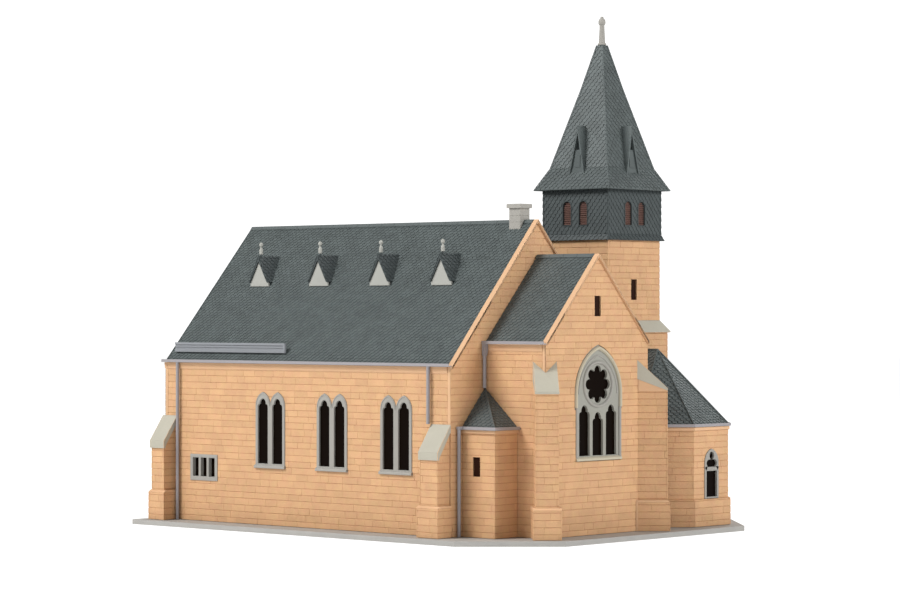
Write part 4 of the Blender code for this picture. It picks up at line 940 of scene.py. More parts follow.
def add_nave_cap(node, centre_x, half, side):
    """The pale sloping slab on a nave buttress, drawn in a little at both ends."""
    wall, front = NAVE_HALF + SEAM, NAVE_HALF + BUTTRESS_OUT
    out, wide, edge = front + 0.6, half + 0.65, BUTTRESS_CAP_EDGE
    slab = [(wall, BUTTRESS_CAP_TOP - edge - 0.8), (front - 0.6, BUTTRESS_CAP_LOW - edge - 0.2),
            (front - 0.6, BUTTRESS_CAP_FOOT - 0.05), (out, BUTTRESS_CAP_FOOT - 0.05),
            (out + 0.05, BUTTRESS_CAP_LOW), (wall, BUTTRESS_CAP_TOP + 0.06)]
    rings = []
    for x, drop in ((-wide, 0.25), (-wide + 0.2, 0.0), (wide - 0.2, 0.0), (wide, 0.25)):
        ring = []
        for y, z in slab:
            inwards = drop if y > front else 0.0
            down = drop if z > BUTTRESS_CAP_LOW - 0.5 else 0.0
            ring.append((centre_x + x, side * (y - inwards), z - down))
        rings.append(ring)
    cap = Solid()
    cap.rings(rings)
    add_piece(node + "_cap", cap, (TRIM,))


DIAGONAL_WIDE = 11.5
DIAGONAL_OUT = 9.3
DIAGONAL_CAP_TOP = 86.3
DIAGONAL_CAP_BACK = 77.5
DIAGONAL_CAP_LOW = 72.2
DIAGONAL_CAP_FOOT = 71.0


def diagonal_frame(side):
    """A chancel corner, with the directions out of it and across that."""
    corner = Vector((CHANCEL_EAST, side * CHANCEL_HALF, 0))
    return corner, Vector((1, side, 0)).normalized(), Vector((-side, 1, 0)).normalized()


def make_diagonal_buttress(node, side, seed):
    work = Stonework(node)
    corner, along, across = diagonal_frame(side)
    half = DIAGONAL_WIDE / 2
    stages = ((half, DIAGONAL_OUT, PLINTH_TOP + PLINTH_SLOPE, DIAGONAL_CAP_FOOT - 0.4),
              (half + PLINTH_OUT, DIAGONAL_OUT + PLINTH_OUT, FOOT, PLINTH_TOP))
    for k, (reach, far, low, high) in enumerate(stages):
        spot = corner + along * far
        face = wall_face(spot.x, spot.y, along.x, along.y)
        work.face(face, rectangle(-reach, reach, low, high), seed + k)
    for turn in (-1, 1):
        for k, (reach, far, low, high) in enumerate(stages):
            spot = corner + across * (turn * reach)
            face = wall_face(spot.x, spot.y, turn * across.x, turn * across.y)
            sign = 1 if face.across.dot(along) > 0 else -1
            start, end = sorted((-sign * half, sign * far))
            work.face(face, rectangle(start, end, low, high), seed + 2 + 3 * k + turn)
    work.finish()
    add_diagonal_cap(node, side)


def add_diagonal_cap(node, side):
    """The pale sloping slab on a diagonal buttress, cut to fit round the chancel's corner."""
    corner, along, across = diagonal_frame(side)
    half = DIAGONAL_WIDE / 2
    reach, out, back = half + 0.15, DIAGONAL_OUT + 0.15, -half - 2.0
    pitch = (DIAGONAL_CAP_TOP - DIAGONAL_CAP_LOW) / (half + DIAGONAL_OUT)
    back_top = DIAGONAL_CAP_TOP + pitch * 2.0
    slab = [(back, DIAGONAL_CAP_BACK), (out, DIAGONAL_CAP_FOOT), (out, DIAGONAL_CAP_LOW), (back, back_top)]
    rings = []
    for width, drop in ((-reach, 0.2), (-reach + 0.2, 0.0), (reach - 0.2, 0.0), (reach, 0.2)):
        rings.append([corner + along * s + across * width + Vector((0, 0, z - (drop if i > 1 else 0.0)))
                      for i, (s, z) in enumerate(slab)])
    cap = Solid()
    cap.rings(rings)
    south, north = sorted((side * (CHANCEL_HALF - 0.1), -side * 10.0))
    inside = rectangle(-20.0, CHANCEL_EAST - 0.1, south, north)
    notch = Solid()
    notch.rings([[(*spot, z) for spot in inside] for z in (50.0, 100.0)])
    add_piece(node + "_cap", carve(cap, notch), (TRIM,))


# Slated roofs

# The bed coat is near black: painted shade where it shows between the slates
SLATE_COATS = (SLATE_BED_SHADE, SLATE, SLATE_SMOOTH)
BED, LAID, SMOOTH = 0, 1, 2


def slate_outline(centre, tail):
    """One slate from its rounded tail up to its square head."""
    half = (SLATE_WIDE - SLATE_SIDE_GAP) / 2
    points = []
    for k in range(7):
        turn = math.pi + math.pi * k / 6
        points.append((centre + half * math.cos(turn), tail + SLATE_TAIL * (1 + math.sin(turn))))
    head = tail + SLATE_SHOW + SLATE_TAIL + SLATE_HEAD
    return points + [(centre + half, head), (centre - half, head)]


def lay_slates(solid, face, region, sink=0.0, skip=skip_none):
    """Overlapping slates in staggered rows over a convex region of a sloping face."""
    low_a, high_a, low_b, high_b = box_of(region, 0.0)
    run = SLATE_SHOW + SLATE_TAIL + SLATE_HEAD
    rows = int((high_b - low_b) / SLATE_SHOW) + 2
    count = int((high_a - low_a) / SLATE_WIDE) + 2
    for row in range(-1, rows):
        tail = low_b + row * SLATE_SHOW
        shift = SLATE_WIDE / 2 if row % 2 else 0.0
        for k in range(-1, count):
            outline = clip(slate_outline(low_a + k * SLATE_WIDE + shift, tail), region)
            if not outline or area(outline) < LEAST_SLATE or skip(outline):
                continue
            depths = [-sink - 0.05 - SLATE_KICK * (b - tail) / run for _, b in outline]
            under = [face.at(a, b, h - SLATE_THICK) for (a, b), h in zip(outline, depths)]
            top = [face.at(a, b, h) for (a, b), h in zip(outline, depths)]
            solid.rings([under, top], LAID)


def roof_face(side, ridge, pitch):
    """Slope of a ridged roof; across runs along X, and up is zero at the ridge line."""
    slope = math.hypot(1.0, pitch)
    up = Vector((0, -side / slope, pitch / slope))
    out = Vector((0, side * pitch / slope, 1.0 / slope))
    return Face((0, 0, ridge), (-side, 0, 0), up, out)


def make_ridged_roof(node, side, ridge, pitch, half, west, east, verge):
    """Board, slates, ridge tiles and perhaps a west verge of one slope."""
    face = roof_face(side, ridge - ROOF_BELOW_COPING, pitch)
    start, end = sorted((-side * west, -side * east))
    low = -(half - 0.45) * math.hypot(1.0, pitch)
    solid = Solid()
    # The board takes the near black bed coat, painted shade between the slates
    face.prism(solid, rectangle(start + 0.1, end - 0.1, low, -0.25), -2.0, -SLATE_SINK, BED)
    lay_slates(solid, face, rectangle(start, end, low, -0.3))
    if verge:
        edge = sorted((-side * west, -side * (west + 0.45)))
        face.prism(solid, rectangle(*edge, low, -0.3), -2.0, 0.08, SMOOTH)
    add_ridge_tiles(solid, face, start, end)
    add_piece(node + "_slates", solid, SLATE_COATS, (node,))


RIDGE_TILE_LONG = 9.0
RIDGE_TILE_WIDE = 2.2


def add_ridge_tiles(solid, face, start, end):
    section = [(-RIDGE_TILE_WIDE, 0.10), (-RIDGE_TILE_WIDE + 0.15, 0.34), (-0.35, 0.46), (0.0, 0.46),
               (0.0, -0.3), (-RIDGE_TILE_WIDE, -0.35)]
    while start < end - 0.5:
        stop = min(start + RIDGE_TILE_LONG, end)
        spots = ((start + 0.05, 0.08), (start + 0.2, 0.0), (stop - 0.2, 0.0), (stop - 0.05, 0.08))
        solid.rings([[face.at(a, b, h - drop) for b, h in section] for a, drop in spots], SMOOTH)
        start = stop


CHIMNEY_X = -11.85
CHIMNEY_HALF = 3.7
CHIMNEY_CAP_OUT = 0.9
CHIMNEY_CAP_FOOT = 162.9
CHIMNEY_TOP = 165.1
FLUE_HALF = 1.8


def make_roofs():
    for label, side in (("south", -1), ("north", 1)):
        make_ridged_roof(f"nave_roof_{label}", side, NAVE_RIDGE, NAVE_PITCH, NAVE_HALF,
                         NAVE_WEST - VERGE_OUT, -INNER, True)
        make_ridged_roof(f"chancel_roof_{label}", side, CHANCEL_RIDGE, CHANCEL_PITCH, CHANCEL_HALF,
                         SEAM, CHANCEL_EAST - INNER, False)


def pyramid_face(corner_a, corner_b, apex):
    """The sloping face through two eaves corners and a point above."""
    a, b, top = Vector(corner_a), Vector(corner_b), Vector(apex)
    across = (b - a).normalized()
    up = (top - a) - across * (top - a).dot(across)
    return Face(a, across, up, across.cross(up))


def flat_on(face, points):
    """Points in space as coordinates on a face."""
    steps = [Vector(p) - face.origin for p in points]
    return [(step.dot(face.across), step.dot(face.up)) for step in steps]


def slate_panel(solid, corners, sink=0.0, skip=skip_none):
    """Slates over a convex sloping panel, given its corners from the eaves round."""
    face = pyramid_face(corners[0], corners[1], corners[-1])
    lay_slates(solid, face, flat_on(face, corners), sink, skip)


TURRET_APEX = 73.6
TURRET_ROOF_FOOT = 53.75
TURRET_EAVES = 0.9


def make_turret_roof():
    west, north = SEAM, -CHANCEL_HALF - SEAM
    east, south = TURRET_EAST + TURRET_EAVES, TURRET_SOUTH - TURRET_EAVES
    z = TURRET_ROOF_FOOT
    apex = (west, north, TURRET_APEX)
    low = [(*spot, z) for spot in rectangle(west, east - 0.6, south + 0.5, north)]
    peak = (west, north, TURRET_APEX - 0.55)
    solid = Solid()
    solid.add(low + [peak], [(0, 1, 2, 3), (0, 1, 4), (1, 2, 4), (2, 3, 4), (3, 0, 4)])
    slate_panel(solid, [(west, south, z), (east, south, z), apex])
    slate_panel(solid, [(east, south, z), (east, north, z), apex])
    add_roll(solid, (east, south, z), apex, SMOOTH)
    add_piece("turret_roof_slates", solid, SLATE_COATS, ("turret_roof",))


def add_roll(solid, start, end, kind, radius=0.32):
    """A thin rounded roll along a hip or a ridge."""
    a, b = Vector(start), Vector(end)
    along = (b - a).normalized()
    side = along.cross(Vector((0, 0, 1))).normalized()
    up = side.cross(along).normalized()
    spokes = []
    for k in range(8):
        turn = 2 * math.pi * k / 8
        spokes.append((side * (radius * math.cos(turn)), up * (radius * math.sin(turn))))
    solid.rings([[point + wide + tall for wide, tall in spokes] for point in (a, b)], kind)


CHAPEL_EAVES = 35.6
CHAPEL_ROOF_FOOT = 52.3
CHAPEL_APEX = 91.0


def make_chapel_roof():
    """Slates on the half octagon and on the slopes back to the nave and the tower."""
    z = CHAPEL_ROOF_FOOT
    corners = [(*corner, z) for corner in octagon_corners(CHAPEL_EAVES)]
    apex = (CHAPEL_X, CHAPEL_Y, CHAPEL_APEX)
    nave_end = (SEAM, CHAPEL_Y, CHAPEL_APEX)
    tower_end = (CHAPEL_WEST, CHAPEL_Y, CHAPEL_APEX)
    south, north = CHAPEL_Y - CHAPEL_EAVES, CHAPEL_Y + CHAPEL_EAVES
    slope = (CHAPEL_APEX - z) / CHAPEL_EAVES
    back_z = z + slope * (CHAPEL_EAVES - abs(TOWER_SOUTH - CHAPEL_Y))
    solid = lowered_chapel_roof()
    for i, around in enumerate(solid.faces):
        if max(solid.points[k].x for k in around) < CHAPEL_WEST + 0.5:
            solid.kinds[i] = SMOOTH
    for start, end in zip(corners, corners[1:]):
        slate_panel(solid, [start, end, apex])
        add_roll(solid, start, apex, SMOOTH)
    add_roll(solid, corners[-1], apex, SMOOTH)
    slate_panel(solid, [(SEAM, south, z), corners[0], apex, nave_end])
    slate_panel(solid, [(CHAPEL_WEST, TOWER_SOUTH, back_z), (SEAM, TOWER_SOUTH, back_z),
                        nave_end, tower_end])
    slate_panel(solid, [corners[-1], (CHAPEL_WEST, north, z), tower_end, apex])
    add_roll(solid, tower_end, apex, SMOOTH)
    add_piece("chapel_roof_slates", solid, SLATE_COATS, ("chapel_roof",))


def lowered_chapel_roof():
    """The CAD roof without its outermost skin, as a bed for slates."""
    lowered = node_solid("chapel_roof")
    drop = 0.60
    slope = (CHAPEL_APEX - CHAPEL_ROOF_FOOT) / CHAPEL_EAVES
    shrunk = 1.0 - drop / slope / CHAPEL_EAVES
    for p in lowered.points:
        if p.z > CHAPEL_ROOF_FOOT + 1.0:
            p.z -= drop
        else:
            p.y = CHAPEL_Y + (p.y - CHAPEL_Y) * shrunk
            p.x = CHAPEL_X + (p.x - CHAPEL_X) * shrunk if p.x > CHAPEL_X else p.x
    return lowered


# Belfry and spire

BELFRY_HALF = 22.5
BELFRY_SKIRT = 1.2
BELFRY_SKIRT_TALL = 3.0
BELFRY_FLOOR = 148.2
BELFRY_TOP = 174.55
LOUVRE_SPACING = 11.0
LOUVRE_HALF = 2.7
LOUVRE_FOOT = 156.0
LOUVRE_SPRING = 165.8
SPIRE_EAVES = 174.7
SPIRE_EAVES_HALF = 25.8
SPIRE_KINK = 186.3
SPIRE_KINK_HALF = 19.6
SPIRE_BEND = 228.0
SPIRE_BEND_HALF = 8.1
SPIRE_TOP = 251.9
SPIRE_TOP_HALF = 2.1
LUCARNE_FRONT = 21.3
LUCARNE_FOOT = 182.5
LUCARNE_APEX = 208.4
LUCARNE_HALF = 5.4
LUCARNE_LEAN = 0.046
# Slot of the darker slate copy: painted shade on the lucarne's set back gable
LUCARNE_SHADE = 3
SPIRE_STEPS = ((SPIRE_EAVES_HALF, SPIRE_EAVES), (SPIRE_KINK_HALF, SPIRE_KINK),
               (SPIRE_BEND_HALF, SPIRE_BEND), (SPIRE_TOP_HALF, SPIRE_TOP))


def tower_ring(half, z):
    signs = ((-1, -1), (1, -1), (1, 1), (-1, 1))
    return [(TOWER_X + a * half, TOWER_Y + b * half, z) for a, b in signs]


def louvre_holes(by=0.0):
    top = LOUVRE_SPRING + LOUVRE_HALF + by
    return [pointed(k * LOUVRE_SPACING / 2, LOUVRE_HALF + by, LOUVRE_FOOT - by, LOUVRE_SPRING, top, 6)
            for k in (-1, 1)]


def tower_face(quarter, reach):
    """An upright face at a distance from the tower's axis, in quarter turns from the east."""
    angle = math.pi / 2 * quarter
    out = Vector((math.cos(angle), math.sin(angle), 0))
    spot = Vector((TOWER_X, TOWER_Y, 0)) + out * reach
    return Face(spot, (-out.y, out.x, 0), (0, 0, 1), out)


def belfry_shell():
    """The bell chamber's hollow box behind its slates, with the openings cut through."""
    shell, hollow, holes = Solid(), Solid(), Solid()
    shell.rings([tower_ring(BELFRY_HALF + BELFRY_SKIRT - SLATE_SINK, BELFRY_FLOOR),
                 tower_ring(BELFRY_HALF - SLATE_SINK, BELFRY_FLOOR + BELFRY_SKIRT_TALL),
                 tower_ring(BELFRY_HALF - SLATE_SINK, BELFRY_TOP)])
    inner = BELFRY_HALF - WALL
    hollow.rings([tower_ring(inner, BELFRY_FLOOR - 5.0), tower_ring(inner, BELFRY_TOP + 5.0)])
    for turn in range(4):
        for outline in louvre_holes():
            tower_face(turn - 1, BELFRY_HALF).prism(holes, outline, -3.5, 3.0)
    return carve(carve(shell, hollow), holes)


def belfry_slates(face):
    """Slates of one side of the bell chamber, cut round its two openings."""
    region = rectangle(-BELFRY_HALF, BELFRY_HALF, BELFRY_FLOOR + BELFRY_SKIRT_TALL, BELFRY_TOP)
    boxes = [box_of(hole, 0.6) for hole in louvre_holes()]
    slates, cut, tool = Solid(), Solid(), Solid()
    lay_slates(slates, face, region, skip=lambda o: near_any(o, boxes))
    lay_slates(cut, face, region, skip=lambda o: not near_any(o, boxes))
    for outline in louvre_holes(0.45):
        face.prism(tool, outline, -3.0, 3.0)
    slates.merge(carve(cut, tool, tangled=True))
    return slates


def make_belfry():
    """Slated box: a hollow shell, slates on each side and its skirt, and edged openings."""
    solid, frames = Solid(), Solid()
    solid.merge(belfry_shell(), BED)
    low = tower_ring(BELFRY_HALF + BELFRY_SKIRT, BELFRY_FLOOR)
    high = tower_ring(BELFRY_HALF, BELFRY_FLOOR + BELFRY_SKIRT_TALL)
    for turn in range(4):
        n = (turn + 1) % 4
        face = tower_face(turn - 1, BELFRY_HALF)
        solid.merge(belfry_slates(face), LAID)
        slate_panel(solid, [low[turn], low[n], high[n], high[turn]])
        for outer, hole in zip(louvre_holes(0.5), louvre_holes(-0.05)):
            add_frame(frames, face, outer, hole, -1.6, 0.05)
    solid.merge(frames, SMOOTH)
    # The belfry's slates and frames take the darker slate copy: painted shade
    add_piece("belfry_slates", solid, (SLATE_BED_SHADE, SLATE_SHADED, SLATE_SHADED), ("belfry",))


def add_frame(solid, face, outer, inner, low, high):
    """A frame between two outlines of equal counts, with softened front edges."""
    soft = 0.12
    steps = ((0.0, low), (0.0, high - soft), (0.15, high), (0.85, high), (1.0, high - soft), (1.0, low))
    rings = []
    for part, depth in steps:
        rings.append([face.at(a0 * (1.0 - part) + a1 * part, b0 * (1.0 - part) + b1 * part, depth)
                      for (a0, b0), (a1, b1) in zip(outer, inner)])
    solid.loop(rings)


def make_louvres():
    """Backing and sloping blades of the belfry openings."""
    solid = Solid()
    section = [(-1.6, 1.05), (-0.75, 0.25), (-0.75, 0.0), (-1.6, 0.6)]
    for turn in range(4):
        face = tower_face(turn - 1, BELFRY_HALF)
        for outline in louvre_holes(0.3):
            face.prism(solid, outline, -2.6, -1.5)
        for k in (-1, 1):
            centre = k * LOUVRE_SPACING / 2
            z = LOUVRE_FOOT + 0.3
            while z < LOUVRE_SPRING + LOUVRE_HALF - 0.8:
                over = max(0.0, z + 0.7 - LOUVRE_SPRING)
                half = math.sqrt(max(0.0, LOUVRE_HALF * LOUVRE_HALF - over * over)) - 0.03
                solid.rings([[face.at(centre + s * half, z + b, h) for h, b in section] for s in (-1, 1)])
                z += 1.0
    add_piece("belfry_louvre_blades", solid, (LOUVRE,), ("belfry_louvres",))


def behind_lucarne(corners):
    """A test for the slates of a spire panel that its small dormer hides."""
    face = pyramid_face(corners[0], corners[1], corners[-1])
    centre = ((Vector(corners[0]) + Vector(corners[1])) / 2 - face.origin).dot(face.across)

    def hidden(outline):
        for a, b in outline:
            z = face.at(a, b).z
            reach = LUCARNE_HALF * (LUCARNE_APEX - z) / (LUCARNE_APEX - LUCARNE_FOOT) - 0.9
            if z <= LUCARNE_FOOT - 0.5 or abs(a - centre) >= reach:
                return False
        return True

    return hidden


def make_spire():
    """A hollow shell with slates over it, rolls on its hips and four small dormers."""
    inside = [(4.5, 231.0), (SPIRE_KINK_HALF - 2.0, SPIRE_KINK), (BELFRY_HALF - WALL, SPIRE_EAVES + 0.5)]
    outside = [(BELFRY_HALF - WALL, SPIRE_EAVES)] + [(half - 0.55, z) for half, z in SPIRE_STEPS]
    solid = Solid()
    solid.rings([tower_ring(half, z) for half, z in inside + outside], BED)
    corners = [tower_ring(half, z) for half, z in SPIRE_STEPS]
    stages = list(zip(corners, corners[1:]))
    for turn in range(4):
        n = (turn + 1) % 4
        for low, high in stages:
            panel = [low[turn], low[n], high[n], high[turn]]
            slate_panel(solid, panel, skip=behind_lucarne(panel))
        for low, high in stages:
            add_roll(solid, low[turn], high[turn], LAID, radius=0.16)
        add_lucarne(solid, tower_face(turn - 1, LUCARNE_FRONT))
    add_eaves_edge(solid)
    # The last coat is the darker slate copy, painted shade on the lucarnes' gables
    add_piece("spire_slates", solid, SLATE_COATS + (SLATE_SHADED,), ("spire",))


def add_eaves_edge(solid):
    """A thin smooth board under the lowest row of slates."""
    outer, inner = SPIRE_EAVES_HALF - 0.1, BELFRY_HALF - 0.5
    low, high = SPIRE_EAVES, SPIRE_EAVES + 0.4
    steps = ((inner, low), (outer, low), (outer, high), (inner, high))
    solid.loop([tower_ring(half, z) for half, z in steps], SMOOTH)


def add_lucarne(solid, face):
    """Steep little dormer: two thin roof slabs with light edges, and a panelled front set back."""
    half, foot, apex = LUCARNE_HALF, LUCARNE_FOOT, LUCARNE_APEX
    edge, deep = 0.8, 12.0
    front, panel_top = half - edge, foot + 13.2
    top = apex - edge * (apex - foot) / half
    reach = front * (top - panel_top) / (top - foot)

    def leaning(outline, back, before, kind):
        """A prism whose front leans back with height."""
        near_ring = [face.at(a, b, before - LUCARNE_LEAN * (b - foot)) for a, b in outline]
        solid.rings([[face.at(a, b, back) for a, b in outline], near_ring], kind)

    for side in (-1, 1):
        outline = [(side * half, foot), (0.0, apex), (0.0, top), (side * (half - edge), foot)]
        leaning(outline, -deep, 0.0, LAID)
    outline = [(-front, foot + 0.1), (front, foot + 0.1), (reach, panel_top), (-reach, panel_top)]
    leaning(outline, -deep, -1.0, SMOOTH)
    # The set back gable above the panel is painted in the darker slate copy as shade
    leaning([(-reach, panel_top), (reach, panel_top), (0.0, top)], -deep, -2.2, LUCARNE_SHADE)
    for low_b, high_b in ((foot + 0.8, foot + 3.2), (foot + 4.0, panel_top - 0.9)):
        wide = front * (top - high_b) / (top - foot) - 0.35
        leaning(rectangle(-wide, wide, low_b, high_b), -1.4, -0.75, SMOOTH)


FINIAL_PROFILE = (
    (2.30, 252.05), (2.38, 252.40), (2.20, 252.85), (1.75, 253.10), (1.65, 254.50), (1.55, 257.00),
    (1.42, 259.00), (1.35, 260.50), (1.30, 262.00), (1.40, 262.60), (1.78, 263.00), (1.90, 263.80),
    (1.90, 264.60), (1.72, 265.30), (1.20, 265.90), (0.90, 266.20), (0.85, 266.70), (0.50, 267.10),
)


def add_turned(solid, profile, x, y, sides=28, kind=0):
    rings = []
    for radius, z in profile:
        rings.append([(x + radius * math.cos(2 * math.pi * k / sides),
                       y + radius * math.sin(2 * math.pi * k / sides), z) for k in range(sides)])
    solid.rings(rings, kind)


def make_finial():
    solid = Solid()
    add_turned(solid, FINIAL_PROFILE, TOWER_X, TOWER_Y)
    add_piece("spire_finial_turned", solid, (FRAME,), ("spire_finial",), smooth=50)


# Dormers, rail and chimney on the nave roof

DORMER_X = (-170.0, -125.7, -81.7, -38.6)
DORMER_FRONT = 29.5
DORMER_FOOT = 124.0
DORMER_RIDGE = 140.2
DORMER_HALF = 6.8
DORMER_ROOF_HALF = 6.9
DORMER_ROOF_OUT = 0.8
DORMER_EAVES = 126.1
DORMER_PANEL_SIDE = 125.6
DORMER_PANEL_TOP = 137.6
DORMER_PALE = 3
ROD_PROFILE = (
    (0.90, 141.1), (0.98, 141.4), (0.98, 143.5), (0.85, 144.0), (0.55, 144.3), (0.52, 145.2),
    (0.95, 145.45), (1.05, 145.9), (1.05, 146.5), (0.90, 146.9), (0.60, 147.0), (0.55, 147.25),
    (0.35, 147.4),
)


def nave_roof_y(z):
    """Distance from the ridge's line, in plan, at which the nave's roof has a height."""
    return (NAVE_ROOF_TOP - z) / NAVE_PITCH


def add_dormer_front(solid, face, deep):
    """The dormer's body, and its pale panel with a softened front edge."""
    half, foot, eaves = DORMER_HALF, DORMER_FOOT, DORMER_EAVES
    body = [(-half + 0.6, foot - 3.0), (half - 0.6, foot - 3.0), (half - 0.6, eaves),
            (0.0, DORMER_RIDGE - 1.6), (-half + 0.6, eaves)]
    # The body's cheeks under the slabs take the near black bed coat: painted shade in the recess
    face.prism(solid, body, deep + 1.5, -0.5, BED)
    panel = [(-half, foot), (half, foot), (half, DORMER_PANEL_SIDE), (0.0, DORMER_PANEL_TOP),
             (-half, DORMER_PANEL_SIDE)]
    steps = ((panel, -1.0), (panel, -0.15), (inset(panel, 0.25), 0.0))
    solid.rings([[face.at(a, b, depth) for a, b in outline] for outline, depth in steps], DORMER_PALE)


def add_dormer_slopes(solid, face, back):
    """A slab and slates on both sides of a dormer's ridge."""
    reach, eaves, ridge = DORMER_ROOF_HALF, DORMER_EAVES, DORMER_RIDGE
    for turn in (-1, 1):
        slab = [(turn * reach, eaves), (0.0, ridge), (0.0, DORMER_PANEL_TOP),
                (turn * (reach - 0.45), eaves)]
        face.prism(solid, slab, back, DORMER_ROOF_OUT, SMOOTH)
        depths = (back, DORMER_ROOF_OUT) if turn < 0 else (DORMER_ROOF_OUT, back)
        corners = [face.at(turn * reach, eaves, depth) for depth in depths]
        corners += [face.at(0.0, ridge, depth) for depth in reversed(depths)]
        slate_panel(solid, corners, sink=-0.40)


def make_dormer(node, x, side):
    """Small triangular dormer: pale front, slated slopes and a pale rod on its ridge."""
    solid, under_roof = Solid(), Solid()
    face = Face((x, side * DORMER_FRONT, 0), (-side, 0, 0), (0, 0, 1), (0, side, 0))
    deep = nave_roof_y(DORMER_RIDGE) - DORMER_FRONT
    add_dormer_front(solid, face, deep)
    add_dormer_slopes(solid, face, deep - 3.0)
    limit = NAVE_ROOF_TOP - 0.35
    eaves = limit - NAVE_PITCH * NAVE_HALF
    section = [(-2.0, 60.0), (NAVE_HALF, 60.0), (NAVE_HALF, eaves), (0.0, limit), (-2.0, limit)]
    extrude_x(under_roof, [(side * y, z) for y, z in section], x - 20.0, x + 20.0)
    solid = cut_kinds(solid, under_roof)
    rod_y = side * (DORMER_FRONT - 1.5)
    stem = ((0.5, DORMER_RIDGE - 3.0), (0.5, ROD_PROFILE[0][1] + 0.1))
    add_turned(solid, stem, x, rod_y, 12, SMOOTH)
    add_turned(solid, ROD_PROFILE, x, rod_y, 16, DORMER_PALE)
    # The dormer's slopes take the darker slate copy and its body the near black bed: both painted shade
    add_piece(node + "_slates", solid, (SLATE_BED_SHADE, SLATE_SHADED, SLATE_SHADED, WHITE), (node,))


def cut_kinds(solid, tool):
    """Cuts a solid of several materials, one material at a time."""
    made = Solid()
    for kind in sorted(set(solid.kinds)):
        part = Solid()
        part.points = solid.points
        part.faces = [f for f, k in zip(solid.faces, solid.kinds) if k == kind]
        part.kinds = [0] * len(part.faces)
        made.merge(carve(compact(part), tool, tangled=True), kind)
    return made


def compact(solid):
    used = sorted({i for face in solid.faces for i in face})
    place = {old: new for new, old in enumerate(used)}
    made = Solid()
    made.add([solid.points[i] for i in used], [tuple(place[i] for i in face) for face in solid.faces])
    return made


def make_dormers():
    for number, x in enumerate(DORMER_X, start=1):
        for label, side in (("south", -1), ("north", 1)):
            make_dormer(f"dormer_{label}_{number}", x, side)


RAIL_WEST = -201.9
RAIL_EAST = -118.7
RAIL_LOW = 89.3
RAIL_HIGH = 94.3
RAIL_THICK = 1.1
RAIL_END = 1.2
RAIL_FOOT_SPACING = 19.0
# Steps of the channel's front: how far back, and how far above its lower edge
RAIL_STEPS = ((0.0, 0.0), (0.0, 1.5), (0.5, 1.75), (0.5, 2.35), (0.15, 2.6), (0.15, 3.2),
              (0.45, 3.4), (0.45, 3.7), (0.0, 3.9))


def make_rail():
    """Long channel on short feet: two flanges, a web set back and a closed east end."""
    solid = Solid()
    back = -nave_roof_y(RAIL_LOW) - 0.15
    front = back - RAIL_THICK
    section = [(back, RAIL_LOW)] + [(front + y, RAIL_LOW + z) for y, z in RAIL_STEPS]
    extrude_x(solid, section + [(front, RAIL_HIGH), (back, RAIL_HIGH)], RAIL_WEST, RAIL_EAST - RAIL_END)
    end = [(back, RAIL_LOW), (front - 0.1, RAIL_LOW), (front - 0.1, RAIL_HIGH), (back, RAIL_HIGH)]
    extrude_x(solid, end, RAIL_EAST - RAIL_END, RAIL_EAST)
    top = 0.9 - nave_roof_y(RAIL_HIGH)
    foot = [(back, RAIL_LOW + 1.0), (back, RAIL_HIGH - 0.6), (top, RAIL_HIGH - 0.6),
            (back + 0.8, RAIL_LOW + 1.0)]
    x = RAIL_WEST + 2.0
    while x < RAIL_EAST - 1.0:
        extrude_x(solid, foot, x, x + 1.2)
        x += RAIL_FOOT_SPACING
    add_piece("snow_rail_channel", solid, (RAIL,), ("snow_rail",))


def add_block(solid, low, high, soft):
    """A rectangular block with chamfered edges."""
    (x0, y0, z0), (x1, y1, z1) = low, high

    def ring(s, z):
        return [(x0 + s + soft, y0 + s, z), (x1 - s - soft, y0 + s, z), (x1 - s, y0 + s + soft, z),
                (x1 - s, y1 - s - soft, z), (x1 - s - soft, y1 - s, z), (x0 + s + soft, y1 - s, z),
                (x0 + s, y1 - s - soft, z), (x0 + s, y0 + s + soft, z)]

    solid.rings([ring(soft, z0), ring(0.0, z0 + soft), ring(0.0, z1 - soft), ring(soft, z1)])


def make_chimney():
    """Pale shaft with fine courses, and an oversailing cap with the flue's opening."""
    solid = Solid()
    x, half = CHIMNEY_X, CHIMNEY_HALF
    z = NAVE_ROOF_TOP - NAVE_PITCH * half - 3.4
    while z < CHIMNEY_CAP_FOOT - 0.2:
        top = min(z + COURSE, CHIMNEY_CAP_FOOT + 0.05)
        add_block(solid, (x - half, -half, z), (x + half, half, top), 0.12)
        z = top
    out = half + CHIMNEY_CAP_OUT
    outer = rectangle(x - out, x + out, -out, out)
    inner = rectangle(x - FLUE_HALF, x + FLUE_HALF, -FLUE_HALF, FLUE_HALF)
    face = Face((0, 0, CHIMNEY_CAP_FOOT), (1, 0, 0), (0, 1, 0), (0, 0, 1))
    add_frame(solid, face, outer, inner, 0.0, CHIMNEY_TOP - CHIMNEY_CAP_FOOT)
    add_piece("chimney_stack", solid, (FRAME,), ("chimney",))


# Window frames and panes

def curve_panel(face, outer, holes, front, depth, soft):
    """A flat panel with holes, softened on every edge, as a solid in the building frame."""
    curve = bpy.data.curves.new("panel", "CURVE")
    curve.dimensions = "2D"
    curve.fill_mode = "BOTH"
    curve.extrude = depth / 2 - soft
    curve.bevel_depth = soft
    curve.bevel_resolution = 1
    curve.offset = -soft
    for outline in [outer] + holes:
        spline = curve.splines.new("POLY")
        spline.points.add(len(outline) - 1)
        spline.use_cyclic_u = True
        for point, (a, b) in zip(spline.points, outline):
            point.co = (a, b, 0.0, 1.0)
    item = add_object("panel", curve)
    mesh = evaluated_mesh(item)
    middle = front - depth / 2
    made = Solid()
    made.add([face.at(v.co.x, v.co.y, middle + v.co.z) for v in mesh.vertices],
             [tuple(p.vertices) for p in mesh.polygons])
    bpy.data.objects.remove(item)
    bpy.data.curves.remove(curve)
    bpy.data.meshes.remove(mesh)
    return made


